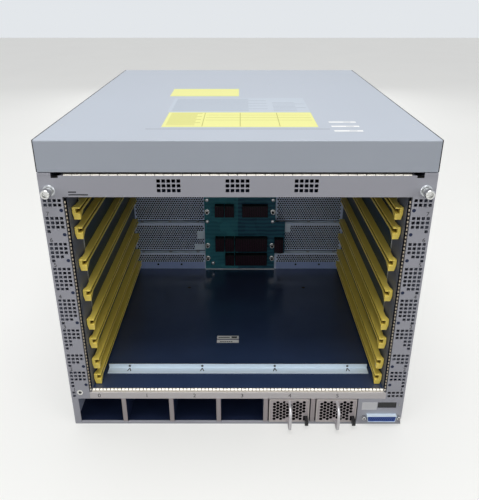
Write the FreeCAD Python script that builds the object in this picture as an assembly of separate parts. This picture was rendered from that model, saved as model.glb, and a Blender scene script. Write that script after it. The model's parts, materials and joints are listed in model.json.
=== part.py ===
import FreeCAD, Part
import math
import os

from FreeCAD import Vector

# Nine-unit rack router chassis with an open card cage, in millimetres.
# X is right as seen from the front, Y is towards the rear, Z is up.
# The origin is the centre of the base.

# Sheet thickness
sheet = 1.5
inner_sheet = 1.2

# Clearances: parts that slide, a pin that turns, sockets in their cut-outs
slip = 0.3
turning = 0.06
socket_play = 0.2

# Heights, from the base upwards
lip_height = 3.8
bay_height = 39.2
header_height = 10.0
floor_rise = 5.0
headroom = 16.9
bar_height = 25.0
cover_gap = 4.0
cover_height = 36.0

# Card guides: steps between neighbouring ledges, room below the lowest, height, drop of the nose
guide_pitches = (24.7, 32.2, 28.5, 42.3, 42.3, 42.3, 25.0)
guide_foot = 0.5
guide_height = 8.0
nose_drop = 7.3

# Depths, from the front backwards: cage, steps of its rear wall, plenum, fan trays
cage_depth = 355.0
bands = ("low", "middle", "high")
step_depth = 10.0
plenum_depth = 79.5
tray_depth = 90.0

# Power bays along the bottom and the service panel beside them
bays = 6
filled_bays = {"left": 4, "right": 5}
bay_width = 57.5
divider = 6.0
bay_depth = 335.0
corner_flange = 8.75
lip_depth = 3.0
header_flange = 14.0

# 25-way socket of the service panel: spacing of its jack screws and what its flange has beyond each
socket_span = 47.04
flange_end = 2.905

# Card cage
ear_width = 25.0
strip_width = 3.0
strip_setback = 2.0
ceiling_gap = 2.0
wall_setback = 45.0
floor_setback = 3.5

header_z = lip_height + bay_height
header_top = header_z + header_height
floor_top = header_top + floor_rise
floor_under = floor_top - inner_sheet
guide_base = floor_top + guide_foot + nose_drop + guide_height
bar_z = guide_base + sum(guide_pitches) + headroom
bar_top = bar_z + bar_height
cover_z = bar_top + cover_gap
height = cover_z + cover_height
ceiling_z = bar_z + ceiling_gap

bay_pitch = bay_width + divider
flange_width = socket_span + 2 * flange_end
service_width = divider + flange_width + 2 * socket_play + sheet
width = corner_flange + bays * bay_pitch - divider + service_width
depth = cage_depth + len(bands) * step_depth + plenum_depth + tray_depth + sheet
half = width / 2
front = -depth / 2
rear = depth / 2
bays_left = corner_flange - half
bays_right = half - service_width
ear_inner = half - ear_width
strip_inner = ear_inner - strip_width
cage_half = strip_inner - strip_setback
cage_back = front + cage_depth
wall_front = front + wall_setback
frame_front = rear - 2 * sheet
frame_back = rear - sheet

HEXAGON = 6
OCTAGON = 8
AXES = {"x": Vector(1, 0, 0), "y": Vector(0, 1, 0), "z": Vector(0, 0, 1)}


def block(x, y, z):
    """Box between pairs of limits along X, Y and Z."""
    return Part.makeBox(x[1] - x[0], y[1] - y[0], z[1] - z[0], Vector(x[0], y[0], z[0]))


def spot(axis, place, point):
    """Point in space for a point drawn on a plane square to an axis."""
    u, v = point
    return {"x": Vector(place, u, v), "y": Vector(u, place, v), "z": Vector(u, v, place)}[axis]


def outline(axis, place, points):
    """Closed wire of straight lines on a plane square to an axis."""
    corners = [spot(axis, place, point) for point in points]
    return Part.makePolygon(corners + corners[:1])


def ring(axis, place, centre, radius):
    """Round wire on a plane square to an axis."""
    return Part.Wire(Part.makeCircle(radius, spot(axis, place, centre), AXES[axis]))


def panel(axis, limits, outer, holes=(), bores=()):
    """Flat sheet between two limits of an axis, with straight-sided holes and round bores."""
    wires = [outline(axis, limits[0], outer)]
    wires += [outline(axis, limits[0], hole) for hole in holes]
    wires += [ring(axis, limits[0], centre, radius) for centre, radius in bores]
    face = Part.makeFace(Part.Compound(wires), "Part::FaceMakerBullseye")
    return face.extrude(AXES[axis] * (limits[1] - limits[0]))


def rectangle(u, v):
    return [(u[0], v[0]), (u[1], v[0]), (u[1], v[1]), (u[0], v[1])]


def square(centre, side):
    u, v = centre
    return rectangle((u - side / 2, u + side / 2), (v - side / 2, v + side / 2))


def polygon(centre, radius, sides):
    """Corners of a regular polygon, the first one to the right."""
    turns = [2 * math.pi * i / sides for i in range(sides)]
    return [(centre[0] + radius * math.cos(t), centre[1] + radius * math.sin(t)) for t in turns]


def clear_polygon(centre, radius, sides):
    """Polygon that a round of the given radius just fits into."""
    return polygon(centre, radius / math.cos(math.pi / sides), sides)


def joined(first, *others):
    return first.fuse(list(others)).removeSplitter()


def mirrored(shape):
    return shape.mirror(Vector(0, 0, 0), AXES["x"])


def write(name, *solids):
    """Save one piece, or a group of like fasteners, under its own name."""
    shape = solids[0] if len(solids) == 1 else Part.makeCompound(list(solids))
    shape.exportStep("parts/" + name + ".step")


os.makedirs("parts", exist_ok=True)


# Outer shell: base pan, side panels, rear frame, top cover

def base_pan():
    """Bottom sheet with a hemmed front lip that the power modules ride over."""
    plate = block((-half, half), (front, rear), (0, sheet))
    lip = block((bays_left, half - sheet), (front, front + lip_depth), (0, lip_height))
    return joined(plate, lip)


# Threaded holes for the rack brackets: one above the other on each side
bracket_hole = 2.1
bracket_spacing = 254.0
bracket_setback = 60.0
bracket_rise = 63.0

# Captive thumbscrews of the top bar
thumb_inset = 11.0
thumb_drop = 17.4
shank = 2.5
shank_reach = 6.0
bar_tab = 18.0
thumb_x = half - thumb_inset
thumb_z = bar_top - thumb_drop


def side_panel(corner):
    """Side wall with the tab behind the top bar and, on request, a front corner flange."""
    wall = panel("x", (half - sheet, half), rectangle((front + sheet, rear), (sheet, cover_z)),
                 bores=[((front + bracket_setback, bracket_rise + up), bracket_hole)
                        for up in (0.0, bracket_spacing)])
    tab = panel("y", (front + sheet, front + 2 * sheet),
                rectangle((half - bar_tab, half - sheet), (bar_z, bar_top)),
                [clear_polygon((thumb_x, thumb_z), shank + slip, OCTAGON)])
    shape = joined(wall, tab)
    if corner:
        flange = block((half - corner_flange, half), (front, front + sheet), (sheet, header_z))
        shape = joined(shape, flange)
    return shape


cover_bend = 1.8


def top_cover():
    """Folded lid: top sheet with a skirt all round and rounded bends."""
    lid = block((-half, half), (front, rear), (cover_z, height))
    top_edges = [edge for edge in lid.Edges if min(v.Z for v in edge.Vertexes) > cover_z]
    lid = lid.makeFillet(cover_bend, top_edges)
    inside = block((sheet - half, half - sheet), (front + sheet, rear - sheet), (cover_z, height - sheet))
    return lid.cut(inside)


# Mains inlets at the rear, one behind each bay
inlet_flange = (30.0, 25.0)
inlet_body = (27.0, 20.0)
inlet_pocket = (24.0, 16.0)
inlet_depth = 17.0
inlet_corner = 4.0
inlet_back = 3.0
inlet_z = (lip_height + header_z) / 2

# Fan trays: two, side by side
tray_overlap = 4.0
tray_wall = 1.2
fan_margin = 5.7
tray_pitch = cage_half
tray_opening = 2 * tray_pitch - 2 * tray_overlap
tray_top = bar_z - tray_overlap
duct_half = tray_pitch / 2 - tray_overlap - 1.5 * slip
fan_radius = duct_half - fan_margin


def bay_centre(i):
    return bays_left + i * bay_pitch + bay_width / 2


def around(centre, size, play=0.0):
    """Rectangle of a given size and play about a centre."""
    return rectangle((centre[0] - size[0] / 2 - play, centre[0] + size[0] / 2 + play),
                     (centre[1] - size[1] / 2 - play, centre[1] + size[1] / 2 + play))


def rear_frame():
    """Rear sheet with the fan opening and the inlet cut-outs."""
    holes = [around((bay_centre(i), inlet_z), inlet_body, socket_play) for i in range(bays)]
    holes.append(rectangle((-tray_opening / 2, tray_opening / 2), (floor_top, tray_top)))
    return panel("y", (frame_front, frame_back), rectangle((sheet - half, half - sheet), (sheet, cover_z)),
                 holes)


def inlet(i):
    """Mains inlet: flange outside the frame, body through it, pocket with two cut corners."""
    x = bay_centre(i)
    flange = panel("y", (frame_back, rear), around((x, inlet_z), inlet_flange))
    body = panel("y", (rear - inlet_depth - inlet_back, frame_back), around((x, inlet_z), inlet_body))
    w, h = inlet_pocket[0] / 2, inlet_pocket[1] / 2
    shape = [(-w, -h), (w, -h), (w, h - inlet_corner), (w - inlet_corner, h),
             (inlet_corner - w, h), (-w, h - inlet_corner)]
    pocket = panel("y", (rear - inlet_depth, rear), [(x + u, inlet_z + v) for u, v in shape])
    return joined(flange, body).cut(pocket)


write("base_pan", base_pan())
write("side_panel_right", side_panel(corner=False))
write("side_panel_left", mirrored(side_panel(corner=True)))
write("rear_frame", rear_frame())
write("top_cover", top_cover())
write("ac_inlets", *[inlet(i) for i in range(bays)])


# Front: ears, top bar, thumbscrews, header

# Square ventilation holes of the ears: holes in each row, counted from the outer edge
ear_hole = 3.9
ear_margin = 4.25
ear_rows = {
    "left": "44..4441..44431.444443..4444431.444221.4431.44411.11",
    "right": "44..4441..44431.4444431.4444431.444221.4431.44411.44",
}
ear_columns = 4

# Wrist-strap ground jack near the foot of the left ear
jack_inset = 12.65
jack_rise = 10.7
jack_body = 3.0
jack_flange = 4.2
jack_lip = 0.8
jack_bore = 2.0
jack_length = 12.0
jack_sides = 12
jack_x = jack_inset - half
jack_z = header_z + jack_rise


def ear_holes(rows):
    """Hole centres on the right ear, row by row from the top."""
    row_pitch = (bar_z - header_z - 2 * ear_margin) / (len(rows) - 1)
    column_pitch = (ear_width - 2 * ear_margin) / (ear_columns - 1)
    return [(half - ear_margin - column * column_pitch, bar_z - ear_margin - row * row_pitch)
            for row, count in enumerate(rows) if count != "."
            for column in range(int(count))]


def ear(side):
    sign = 1 if side == "right" else -1
    holes = [square((sign * x, z), ear_hole) for x, z in ear_holes(ear_rows[side])]
    if side == "left":
        holes.append(polygon((jack_x, jack_z), jack_body + socket_play, jack_sides))
    outer = rectangle(sorted((sign * ear_inner, sign * half)), (header_z, bar_z))
    return panel("y", (front, front + sheet), outer, holes)


def ground_jack():
    """Nickel-plated bush with a four millimetre bore."""
    flange, body, bore = [polygon((jack_x, jack_z), radius, jack_sides)
                          for radius in (jack_flange, jack_body, jack_bore)]
    return joined(panel("y", (front - jack_lip, front), flange, [bore]),
                  panel("y", (front, front + jack_length), body, [bore]))


# Three groups of square vent holes in the top bar
vent_groups = 3
vent_group_pitch = 77.0
vent_columns = 5
vent_rows = 3
vent_hole = 4.2
vent_pitch = 5.6
bar_flange = 20.0
knob_radius = 5.5
knob_sides = 24
knob_length = 15.1
knob_socket = 2.6
knob_socket_depth = 4.0


def centred(count, pitch):
    """Places of a row of things, evenly spaced about zero."""
    return [(i - (count - 1) / 2) * pitch for i in range(count)]


def top_bar():
    """Sheet across the top of the opening, bent back along its upper edge."""
    middle = (bar_z + bar_top) / 2 + (vent_pitch - vent_hole) / 2
    vents = [square((group + x, middle + z), vent_hole)
             for group in centred(vent_groups, vent_group_pitch)
             for x in centred(vent_columns, vent_pitch)
             for z in centred(vent_rows, vent_pitch)]
    screws = [clear_polygon((side * thumb_x, thumb_z), shank + slip, OCTAGON) for side in (-1, 1)]
    face = panel("y", (front, front + sheet), rectangle((-half, half), (bar_z, bar_top)), vents + screws)
    flange = block((-ear_inner, ear_inner), (front + sheet, front + bar_flange), (bar_top - sheet, bar_top))
    return joined(face, flange)


def thumbscrew(side):
    """Knurled knob with a hexagon socket, on a shank through the bar and its tab."""
    centre = (side * thumb_x, thumb_z)
    back = front - slip
    end = back - knob_length
    knob = panel("y", (end, back), polygon(centre, knob_radius, knob_sides))
    socket = panel("y", (end, end + knob_socket_depth), polygon(centre, knob_socket, HEXAGON))
    stem = panel("y", (back, front + shank_reach), polygon(centre, shank, OCTAGON))
    return joined(knob, stem).cut(socket)


def bay_header():
    """Angle over the power bays: a face between the ears and a flange under the cage."""
    section = [(front, header_z), (front + sheet, header_z), (front + sheet, header_top - sheet),
               (front + header_flange, header_top - sheet), (front + header_flange, header_top),
               (front, header_top)]
    return panel("x", (-ear_inner, ear_inner), section)


def bay_divider(i):
    """Closed double-wall partition between two bays, cut away under the header's flange."""
    left = bays_left + i * bay_pitch + bay_width
    nose = front if left + divider < bays_right else front + sheet
    section = [(nose, lip_height), (front + lip_depth, lip_height), (front + lip_depth, sheet),
               (front + bay_depth, sheet), (front + bay_depth, floor_under),
               (front + header_flange, floor_under), (front + header_flange, header_z), (nose, header_z)]
    return panel("x", (left, left + divider), section)


write("ear_left", ear("left"))
write("ear_right", ear("right"))
write("ground_jack", ground_jack())
write("top_bar", top_bar())
write("thumbscrew_left", thumbscrew(-1))
write("thumbscrew_right", thumbscrew(1))
write("bay_header", bay_header())
write("bay_dividers", *[bay_divider(i) for i in range(bays)])


# Card cage: floor, walls, ceiling, spring-finger strips, floor strip

finger_depth = 3.0
finger_rise = 2.0
strip_front = front + floor_setback - finger_depth
crest_share = 0.25
plate_margin = 12.25
plate_front = 34.5
plate_length = 13.0
plate_upstand = 7.0
plate_thickness = 1.2
plate_half = cage_half - plate_margin


def cage_floor():
    """Full-depth floor sheet with a short front edge turned down on to the header."""
    edge = front + floor_setback
    plate = block((sheet - half, half - sheet), (edge, frame_front), (floor_under, floor_top))
    turn = block((-ear_inner, ear_inner), (edge, edge + inner_sheet), (header_top, floor_under))
    return joined(plate, turn)


def cage_side():
    """Side sheet behind the guides, long enough to carry the steps of the rear wall."""
    return block((cage_half, cage_half + inner_sheet), (wall_front, cage_back + len(bands) * step_depth),
                 (floor_top, ceiling_z))


def cage_ceiling():
    return block((sheet - half, half - sheet), (front + 2 * sheet, frame_front),
                 (ceiling_z, ceiling_z + inner_sheet))


def bow(start, end, crest):
    """Section of a bowed strip: a flat back from start to end and a crest half as wide."""
    near = [a + (b - a) * crest_share for a, b in zip(start, end)]
    far = [b + (a - b) * crest_share for a, b in zip(start, end)]
    rise = [c - (a + b) / 2 for a, b, c in zip(start, end, crest)]
    return [start, (near[0] + rise[0], near[1] + rise[1]), (far[0] + rise[0], far[1] + rise[1]), end]


def finger_strips():
    """Contact strips of the card opening: two upright ones and one along the bottom."""
    back = front + sheet
    upright = panel("z", (header_top + finger_rise, bar_z),
                    bow((ear_inner, front), (ear_inner, back), (strip_inner, (front + back) / 2)))
    seat = front + floor_setback
    bottom = panel("x", (-strip_inner, strip_inner),
                   bow((seat, header_top), (seat, floor_top), (strip_front, (header_top + floor_top) / 2)))
    return [upright, mirrored(upright), bottom]


def floor_strip():
    """Angle on the cage floor: a flange towards the opening and an upstand behind it."""
    near = front + plate_front
    far = near + plate_length
    flange_top = floor_top + plate_thickness
    upstand_top = floor_top + plate_upstand
    section = [(near, floor_top), (far, floor_top), (far, upstand_top), (far - plate_thickness, upstand_top),
               (far - plate_thickness, flange_top), (near, flange_top)]
    return panel("x", (-plate_half, plate_half), section)


# Rear wall of the cage: midplane board between stepped air panels

board = 3.0
board_left = 62.0
board_wing = 18.0
wing_height = 62.5
band_gap = 1.5
band_tops = (32.5, 89.0)

# Connectors of the board: widths of their kinds, then rise, height and kinds of each row for a card slot.
# The kinds stand from the left, with the wide and the short one against the right-hand limit.
connector_depth = 11.0
connector_inset = 19.5
connector_gap = 1.75
connector_widths = {"end": 16.0, "power": 16.5, "wide": 59.0, "short": 46.0}
full_row = ("end", "power", "wide")
short_row = ("end", "power", "short")
connector_rows = ((11.5, 22.0, full_row[1:]), (40.0, 27.0, full_row), (108.0, 22.0, short_row),
                  (150.0, 22.0, short_row), (192.0, 22.0, short_row), (234.0, 22.0, short_row))
connector_margin = 14.5
wing_connector = (16.0, 28.0)
wing_connector_edge = 3.0
wing_connector_rise = 4.5
connectors_left = connector_inset - board_left
power_left = connectors_left + connector_widths["end"] + connector_gap
connectors_right = power_left + connector_widths["power"] + connector_gap + connector_widths["wide"]
connector_places = {"end": connectors_left, "power": power_left,
                    "wide": connectors_right - connector_widths["wide"],
                    "short": connectors_right - connector_widths["short"]}
board_right = connectors_right + connector_margin
wing_foot = floor_top + band_tops[0]
wing_right = board_right + board_wing

# Guide pins along both edges of the board
pin_inset = 5.0
pin_radius = 3.7
pin_length = 7.0
pin_heights = (23.0, 49.0, 115.5)


def midplane_board():
    """Circuit board with a wing on its right that stands on the ledge of the lowest air panel."""
    wing_top = wing_foot + wing_height
    shape = [(-board_left, floor_top), (board_right, floor_top), (board_right, wing_foot),
             (wing_right, wing_foot), (wing_right, wing_top), (board_right, wing_top),
             (board_right, ceiling_z), (-board_left, ceiling_z)]
    return panel("y", (cage_back, cage_back + board), shape)


def midplane_connectors():
    limits = (cage_back - connector_depth, cage_back)
    shapes = []
    for z, h, kinds in connector_rows:
        for kind in kinds:
            left = connector_places[kind]
            shapes.append(block((left, left + connector_widths[kind]), limits,
                                (floor_top + z, floor_top + z + h)))
    right = wing_right - wing_connector_edge
    foot = wing_foot + wing_connector_rise
    shapes.append(block((right - wing_connector[0], right), limits, (foot, foot + wing_connector[1])))
    return shapes


def guide_pins():
    return [panel("y", (cage_back - pin_length, cage_back), polygon((x, floor_top + z), pin_radius, OCTAGON))
            for x in (pin_inset - board_left, board_right - pin_inset) for z in pin_heights]


def air_panel(x, low, high, place):
    """Air panel that ends below in a raw edge and above in a ledge turned back to the next step."""
    back = place + step_depth
    section = [(place, low), (place + inner_sheet, low), (place + inner_sheet, high - inner_sheet),
               (back, high - inner_sheet), (back, high), (place, high)]
    return panel("x", x, section)


def air_panels(inner):
    """Right-hand panels from a board edge to the cage wall, each a step behind the one below."""
    tops = [floor_top + top for top in band_tops] + [ceiling_z]
    feet = [floor_top] + [top + band_gap for top in tops[:-1]]
    return [air_panel((inner, cage_half), foot, top, cage_back + level * step_depth)
            for level, (foot, top) in enumerate(zip(feet, tops))]


write("cage_floor", cage_floor())
write("cage_side_right", cage_side())
write("cage_side_left", mirrored(cage_side()))
write("cage_ceiling", cage_ceiling())
write("finger_strips", *finger_strips())
write("floor_strip", floor_strip())
write("midplane_board", midplane_board())
write("midplane_connectors", *midplane_connectors())
write("midplane_pins", *guide_pins())
for band, left_panel, right_panel in zip(bands, air_panels(board_left), air_panels(board_right)):
    write("air_panel_left_" + band, mirrored(left_panel))
    write("air_panel_right_" + band, right_panel)


# Card guides: eight a side, moulded in yellow nylon

guide_front = 12.0
guide_reach = 9.5
nose_length = 14.0
nose_taper = 1.8
guide_slot = 3.2
guide_slot_depth = 5.5
guide_lip = 1.8
entry_length = 9.0
entry_drop = 2.5

# Shallow recess in the outer side of the nose, with sloping ends
bite_depth = 2.0
bite_start = 3.0
bite_length = 27.0
bite_slope = 7.0


def guide_tops():
    """Ledge heights, from the lowest guide upwards."""
    tops = [guide_base]
    for pitch in guide_pitches:
        tops.append(tops[-1] + pitch)
    return tops


def card_guide(top):
    """Right-hand guide: slotted rail on the wall and a flared nose that stands clear of it."""
    wall, inner = cage_half, cage_half - guide_reach
    slot_top, slot_foot = top - guide_lip, top - guide_lip - guide_slot
    foot = top - guide_height
    section = [(wall, foot), (wall, top), (inner, top), (inner, slot_top),
               (inner + guide_slot_depth, slot_top), (inner + guide_slot_depth, slot_foot),
               (inner, slot_foot), (inner, foot)]
    start = front + guide_front
    rail = panel("y", (start, cage_back), section)
    nose = panel("x", (inner, wall), [(start, foot - nose_drop), (start + nose_length, foot), (start, foot)])
    entry = panel("x", (inner, inner + guide_slot_depth),
                  [(start, slot_foot), (start, slot_foot - entry_drop), (start + entry_length, slot_foot)])
    taper = panel("y", (start, start + nose_length),
                  [(wall, foot), (wall - nose_taper, foot - nose_drop), (wall, foot - nose_drop)])
    near = start + bite_start
    far = near + bite_length
    bite = panel("z", (foot - nose_drop, top),
                 [(wall, near), (wall, far), (wall - bite_depth, far - bite_slope),
                  (wall - bite_depth, near + bite_slope)])
    return joined(rail, nose).cut(entry).cut(taper).cut(bite)


for number, guide_top in enumerate(guide_tops(), 1):
    guide = card_guide(guide_top)
    write("card_guide_right_%d" % number, guide)
    write("card_guide_left_%d" % number, mirrored(guide))


# Power modules: case with a honeycomb face, strap handle, release latch

module_side_gap = 1.6
module_top_gap = 0.9
module_length = 321.0
module_wall = 1.2
hex_pitch = 5.1
hex_across = 4.3
hex_side_margin = 5.0
hex_end_margin = 3.0
hex_drop = 0.4
module_width = bay_width - 2 * module_side_gap
module_foot = lip_height + slip
module_top = header_z - module_top_gap

# Latch lever on an upright pin inside the lower right corner
latch_width = 4.5
latch_foot = 2.0
latch_height = 7.5
latch_reach = 11.0
latch_pivot = 7.0
latch_pin = 1.1
latch_angle = 9.0
latch_play = 0.5
latch_tab = 1.2

# Strap handle
handle_width = 4.5
handle_thickness = 2.0
handle_reach = 22.0
handle_top_inset = 2.0
handle_foot_inset = 1.0
handle_top_bend = 12.0
handle_foot_bend = 7.0
bend_steps = 4
handle_foot = module_foot + handle_foot_inset
handle_top = module_top - handle_top_inset


def latch_place(x):
    """Pivot of the latch in a module that is centred on x."""
    return x + module_width / 2 - module_wall - latch_play - latch_width / 2, front + latch_pivot


def latch_limits():
    low = module_foot + latch_foot
    return low, low + latch_height


def latch_window(x):
    """Cut-out in the face that leaves room for the lever's swing."""
    pivot_x, _ = latch_place(x)
    swing = latch_pivot * math.tan(math.radians(latch_angle)) + slip
    low, high = latch_limits()
    return ((pivot_x - latch_width / 2 - swing, pivot_x + latch_width / 2 + slip),
            (low - slip, high + slip))


def carries_handle(across, z):
    """Whether a cell, measured across from the middle, would reach the seat of a handle foot."""
    reach = hex_pitch / 2
    seats = (handle_foot + handle_thickness + reach, handle_top - handle_thickness - reach)
    return abs(across) < handle_width / 2 + reach and not seats[0] < z < seats[1]


def honeycomb(x):
    """Hexagons in staggered columns, leaving out the latch window and the handle's seats."""
    column_pitch = hex_pitch * math.cos(math.pi / HEXAGON)
    radius = hex_across / (2 * math.cos(math.pi / HEXAGON))
    columns = int((module_width - 2 * hex_side_margin) / column_pitch)
    rows = int((module_top - module_foot - 2 * hex_end_margin) / hex_pitch)
    middle = (module_foot + module_top) / 2 - hex_drop
    (left, _), (_, top) = latch_window(x)
    reach = radius + module_wall / 2
    cells = []
    for i, across in enumerate(centred(columns, column_pitch)):
        stagger = hex_pitch / 4 * (1 if i % 2 else -1)
        for up in centred(rows, hex_pitch):
            z = middle + up + stagger
            beside_latch = x + across + reach < left or z - reach > top
            if beside_latch and not carries_handle(across, z):
                cells.append(polygon((x + across, z), radius, HEXAGON))
    return cells


def module_case(x):
    """Sheet-metal box with an open honeycomb face and the latch's two bearings."""
    left, right = x - module_width / 2, x + module_width / 2
    window = latch_window(x)
    face = panel("y", (front, front + module_wall), rectangle((left, right), (module_foot, module_top)),
                 honeycomb(x) + [rectangle(*window)])
    box = block((left, right), (front + module_wall, front + module_length), (module_foot, module_top))
    inside = block((left + module_wall, right - module_wall),
                   (front + module_wall, front + module_length - module_wall),
                   (module_foot + module_wall, module_top - module_wall))
    pivot = latch_place(x)
    _, latch_top = latch_limits()
    bearing = block((pivot[0] - latch_width / 2, right - module_wall),
                    (front + module_wall, pivot[1] + latch_width / 2),
                    (latch_top + slip, latch_top + slip + latch_tab))
    pin = panel("z", (module_foot, latch_top + slip + latch_tab),
                clear_polygon(pivot, latch_pin + turning, OCTAGON))
    return joined(box.cut(inside), face, bearing).cut(pin)


def module_latch(x):
    """Lever with a round heel on its pin and a thumb end outside the face."""
    pivot = latch_place(x)
    low, high = latch_limits()
    radius = latch_width / 2
    heel = panel("z", (low, high), polygon(pivot, radius, OCTAGON))
    lever = block((pivot[0] - radius, pivot[0] + radius), (front - latch_reach, pivot[1]), (low, high))
    pin = panel("z", (module_foot, high + slip + latch_tab), polygon(pivot, latch_pin, OCTAGON))
    return joined(lever, heel, pin)


def strap(x, face, sign, low, high, reach, bends, strap_width, thickness):
    """Bent strap handle on an upright face: both ends on the face, rounded outer corners."""
    def edge(inset):
        top, foot, out = high - inset, low + inset, reach - inset
        steps = [math.pi / 2 * k / bend_steps for k in range(bend_steps + 1)]
        radius = bends[0] - inset
        upper = [(out - radius + radius * math.sin(a), top - radius + radius * math.cos(a)) for a in steps]
        radius = bends[1] - inset
        lower = [(out - radius + radius * math.cos(a), foot + radius - radius * math.sin(a)) for a in steps]
        return [(0, top)] + upper + lower + [(0, foot)]

    points = edge(0) + edge(thickness)[::-1]
    return panel("x", (x - strap_width / 2, x + strap_width / 2),
                 [(face + sign * out, z) for out, z in points])


def module_handle(x):
    return strap(x, front, -1, handle_foot, handle_top, handle_reach,
                 (handle_top_bend, handle_foot_bend), handle_width, handle_thickness)


for module_side, bay in filled_bays.items():
    write("power_%s_case" % module_side, module_case(bay_centre(bay)))
    write("power_%s_handle" % module_side, module_handle(bay_centre(bay)))
    write("power_%s_latch" % module_side, module_latch(bay_centre(bay)))


# Service panel at the lower right, with a 25-way D socket

socket_rise = 9.2
shell_inset = 3.52
shell_height = 9.6
shell_slope = 1.6
shell_wall = 0.6
flange_thickness = 1.2
shell_reach = 5.8
insert_reach = 5.0
insert_back = 8.0
flange_height = 12.5
jack_screw = 2.6
jack_screw_reach = 5.0
window_size = (25.0, 10.0)
window_right = 9.0
window_drop = 11.0
status_hole = 1.2
status_inset = 5.0
panel_corner = 5.0
shell_size = (socket_span - 2 * shell_inset, shell_height)
socket_x = half - sheet - socket_play - flange_width / 2
socket_z = lip_height + socket_rise


def d_shape(size, inset=0.0):
    """D outline, wider at the top."""
    w, h = size[0] / 2 - inset, size[1] / 2 - inset
    return [(socket_x - w + shell_slope, socket_z - h), (socket_x + w - shell_slope, socket_z - h),
            (socket_x + w, socket_z + h), (socket_x - w, socket_z + h)]


def service_panel():
    """Plate with one cut lower corner, the socket cut-out, a window and a status hole."""
    left = bays_right
    outer = [(left, lip_height), (half - panel_corner, lip_height), (half, lip_height + panel_corner),
             (half, header_z), (left, header_z)]
    window = around((half - window_right - window_size[0] / 2, header_z - window_drop), window_size)
    holes = [polygon((socket_x + side * socket_span / 2, socket_z), jack_screw + socket_play, HEXAGON)
             for side in (-1, 1)]
    holes.append(polygon((half - status_inset, header_z - window_drop), status_hole, OCTAGON))
    return panel("y", (front, front + sheet), outer, holes + [d_shape(shell_size, -socket_play), window])


def alarm_port_shell():
    """Drawn steel shell with its flange behind the panel."""
    back = front + sheet
    flange = panel("y", (back, back + flange_thickness),
                   around((socket_x, socket_z), (flange_width, flange_height)),
                   [d_shape(shell_size, shell_wall)])
    tube = panel("y", (front - shell_reach, back), d_shape(shell_size), [d_shape(shell_size, shell_wall)])
    return joined(flange, tube)


def alarm_port_insert():
    return panel("y", (front - insert_reach, front + insert_back), d_shape(shell_size, shell_wall))


def jack_screw_post(side):
    return panel("y", (front - jack_screw_reach, front + sheet),
                 polygon((socket_x + side * socket_span / 2, socket_z), jack_screw, HEXAGON))


write("service_panel", service_panel())
write("alarm_port_shell", alarm_port_shell())
write("alarm_port_insert", alarm_port_insert())
write("jack_screws", jack_screw_post(-1), jack_screw_post(1))


# Fan trays at the rear, each with one axial fan

grille_pitch = 16.0
grille_slot = 11.0
shroud_depth = 38.0
shroud_setback = 8.0
motor_radius = 30.0
hub_radius = 36.0
hub_depth = 26.0
tip_gap = 2.0
blades = 5
blade_thickness = 2.5
blade_angle = 35.0
blade_chord = 34.0
tray_handle_rise = 20.0
tray_handle_reach = 24.0
tray_handle_width = 8.0
tray_handle_span = 90.0
tray_handle_bend = 8.0
fan_sides = 16
tray_foot = floor_top + slip
tray_mid_z = (tray_foot + tray_top) / 2


def tray_handle(x):
    """Level strap handle across the foot of the face plate."""
    z = tray_foot + tray_handle_rise
    handle = strap(x, rear, 1, z - tray_handle_span / 2, z + tray_handle_span / 2, tray_handle_reach,
                   (tray_handle_bend, tray_handle_bend), tray_handle_width, handle_thickness)
    handle.rotate(Vector(x, rear, z), AXES["y"], 90)
    return handle


def fan_tray(x):
    """Slotted face plate, four-sided duct and a shroud with the fan's round bore."""
    plate_x = (x - tray_pitch / 2 + slip / 2, x + tray_pitch / 2 - slip / 2)
    slots = []
    for z in centred(int(2 * fan_radius / grille_pitch), grille_pitch):
        reach = math.sqrt(fan_radius ** 2 - (abs(z) + grille_slot / 2) ** 2)
        slots.append(around((x, tray_mid_z + z), (2 * reach, grille_slot)))
    face = panel("y", (frame_back, rear), rectangle(plate_x, (floor_top - tray_overlap, bar_z)), slots)
    duct_x = (x - duct_half, x + duct_half)
    duct_z = (tray_foot, tray_top - slip)
    duct_y = (frame_back - tray_depth, frame_back)
    duct = block(duct_x, duct_y, duct_z).cut(
        block((duct_x[0] + tray_wall, duct_x[1] - tray_wall), duct_y,
              (duct_z[0] + tray_wall, duct_z[1] - tray_wall)))
    shroud_back = frame_back - shroud_setback
    shroud = panel("y", (shroud_back - shroud_depth, shroud_back), rectangle(duct_x, duct_z),
                   [clear_polygon((x, tray_mid_z), fan_radius, fan_sides)])
    motor = panel("y", (shroud_back, frame_back), polygon((x, tray_mid_z), motor_radius, fan_sides))
    return joined(face, duct, shroud, motor, tray_handle(x))


def fan_rotor(x):
    """Hub on the motor with flat pitched blades."""
    hub_back = frame_back - shroud_setback - slip
    hub = panel("y", (hub_back - hub_depth, hub_back), polygon((x, tray_mid_z), hub_radius, fan_sides))
    slant = math.radians(blade_angle)
    half_width = (blade_chord * math.sin(slant) + blade_thickness * math.cos(slant)) / 2
    tip = math.sqrt((fan_radius - tip_gap) ** 2 - half_width ** 2)
    root = (motor_radius + hub_radius) / 2
    middle = Vector(x, hub_back - hub_depth / 2, tray_mid_z)
    thick, chord = blade_thickness / 2, blade_chord / 2
    shapes = []
    for i in range(blades):
        blade = block((-thick, thick), (-chord, chord), (root, tip))
        blade.rotate(Vector(0, 0, 0), AXES["z"], blade_angle)
        blade.rotate(Vector(0, 0, 0), AXES["y"], 360 / blades * i)
        blade.translate(middle)
        shapes.append(blade)
    return joined(hub, *shapes)


for tray_side, tray_x in (("left", -tray_pitch / 2), ("right", tray_pitch / 2)):
    write("fan_tray_" + tray_side, fan_tray(tray_x))
    write("fan_rotor_" + tray_side, fan_rotor(tray_x))
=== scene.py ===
import json
import math

import bmesh
import bpy
from mathutils import Matrix, Vector

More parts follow.
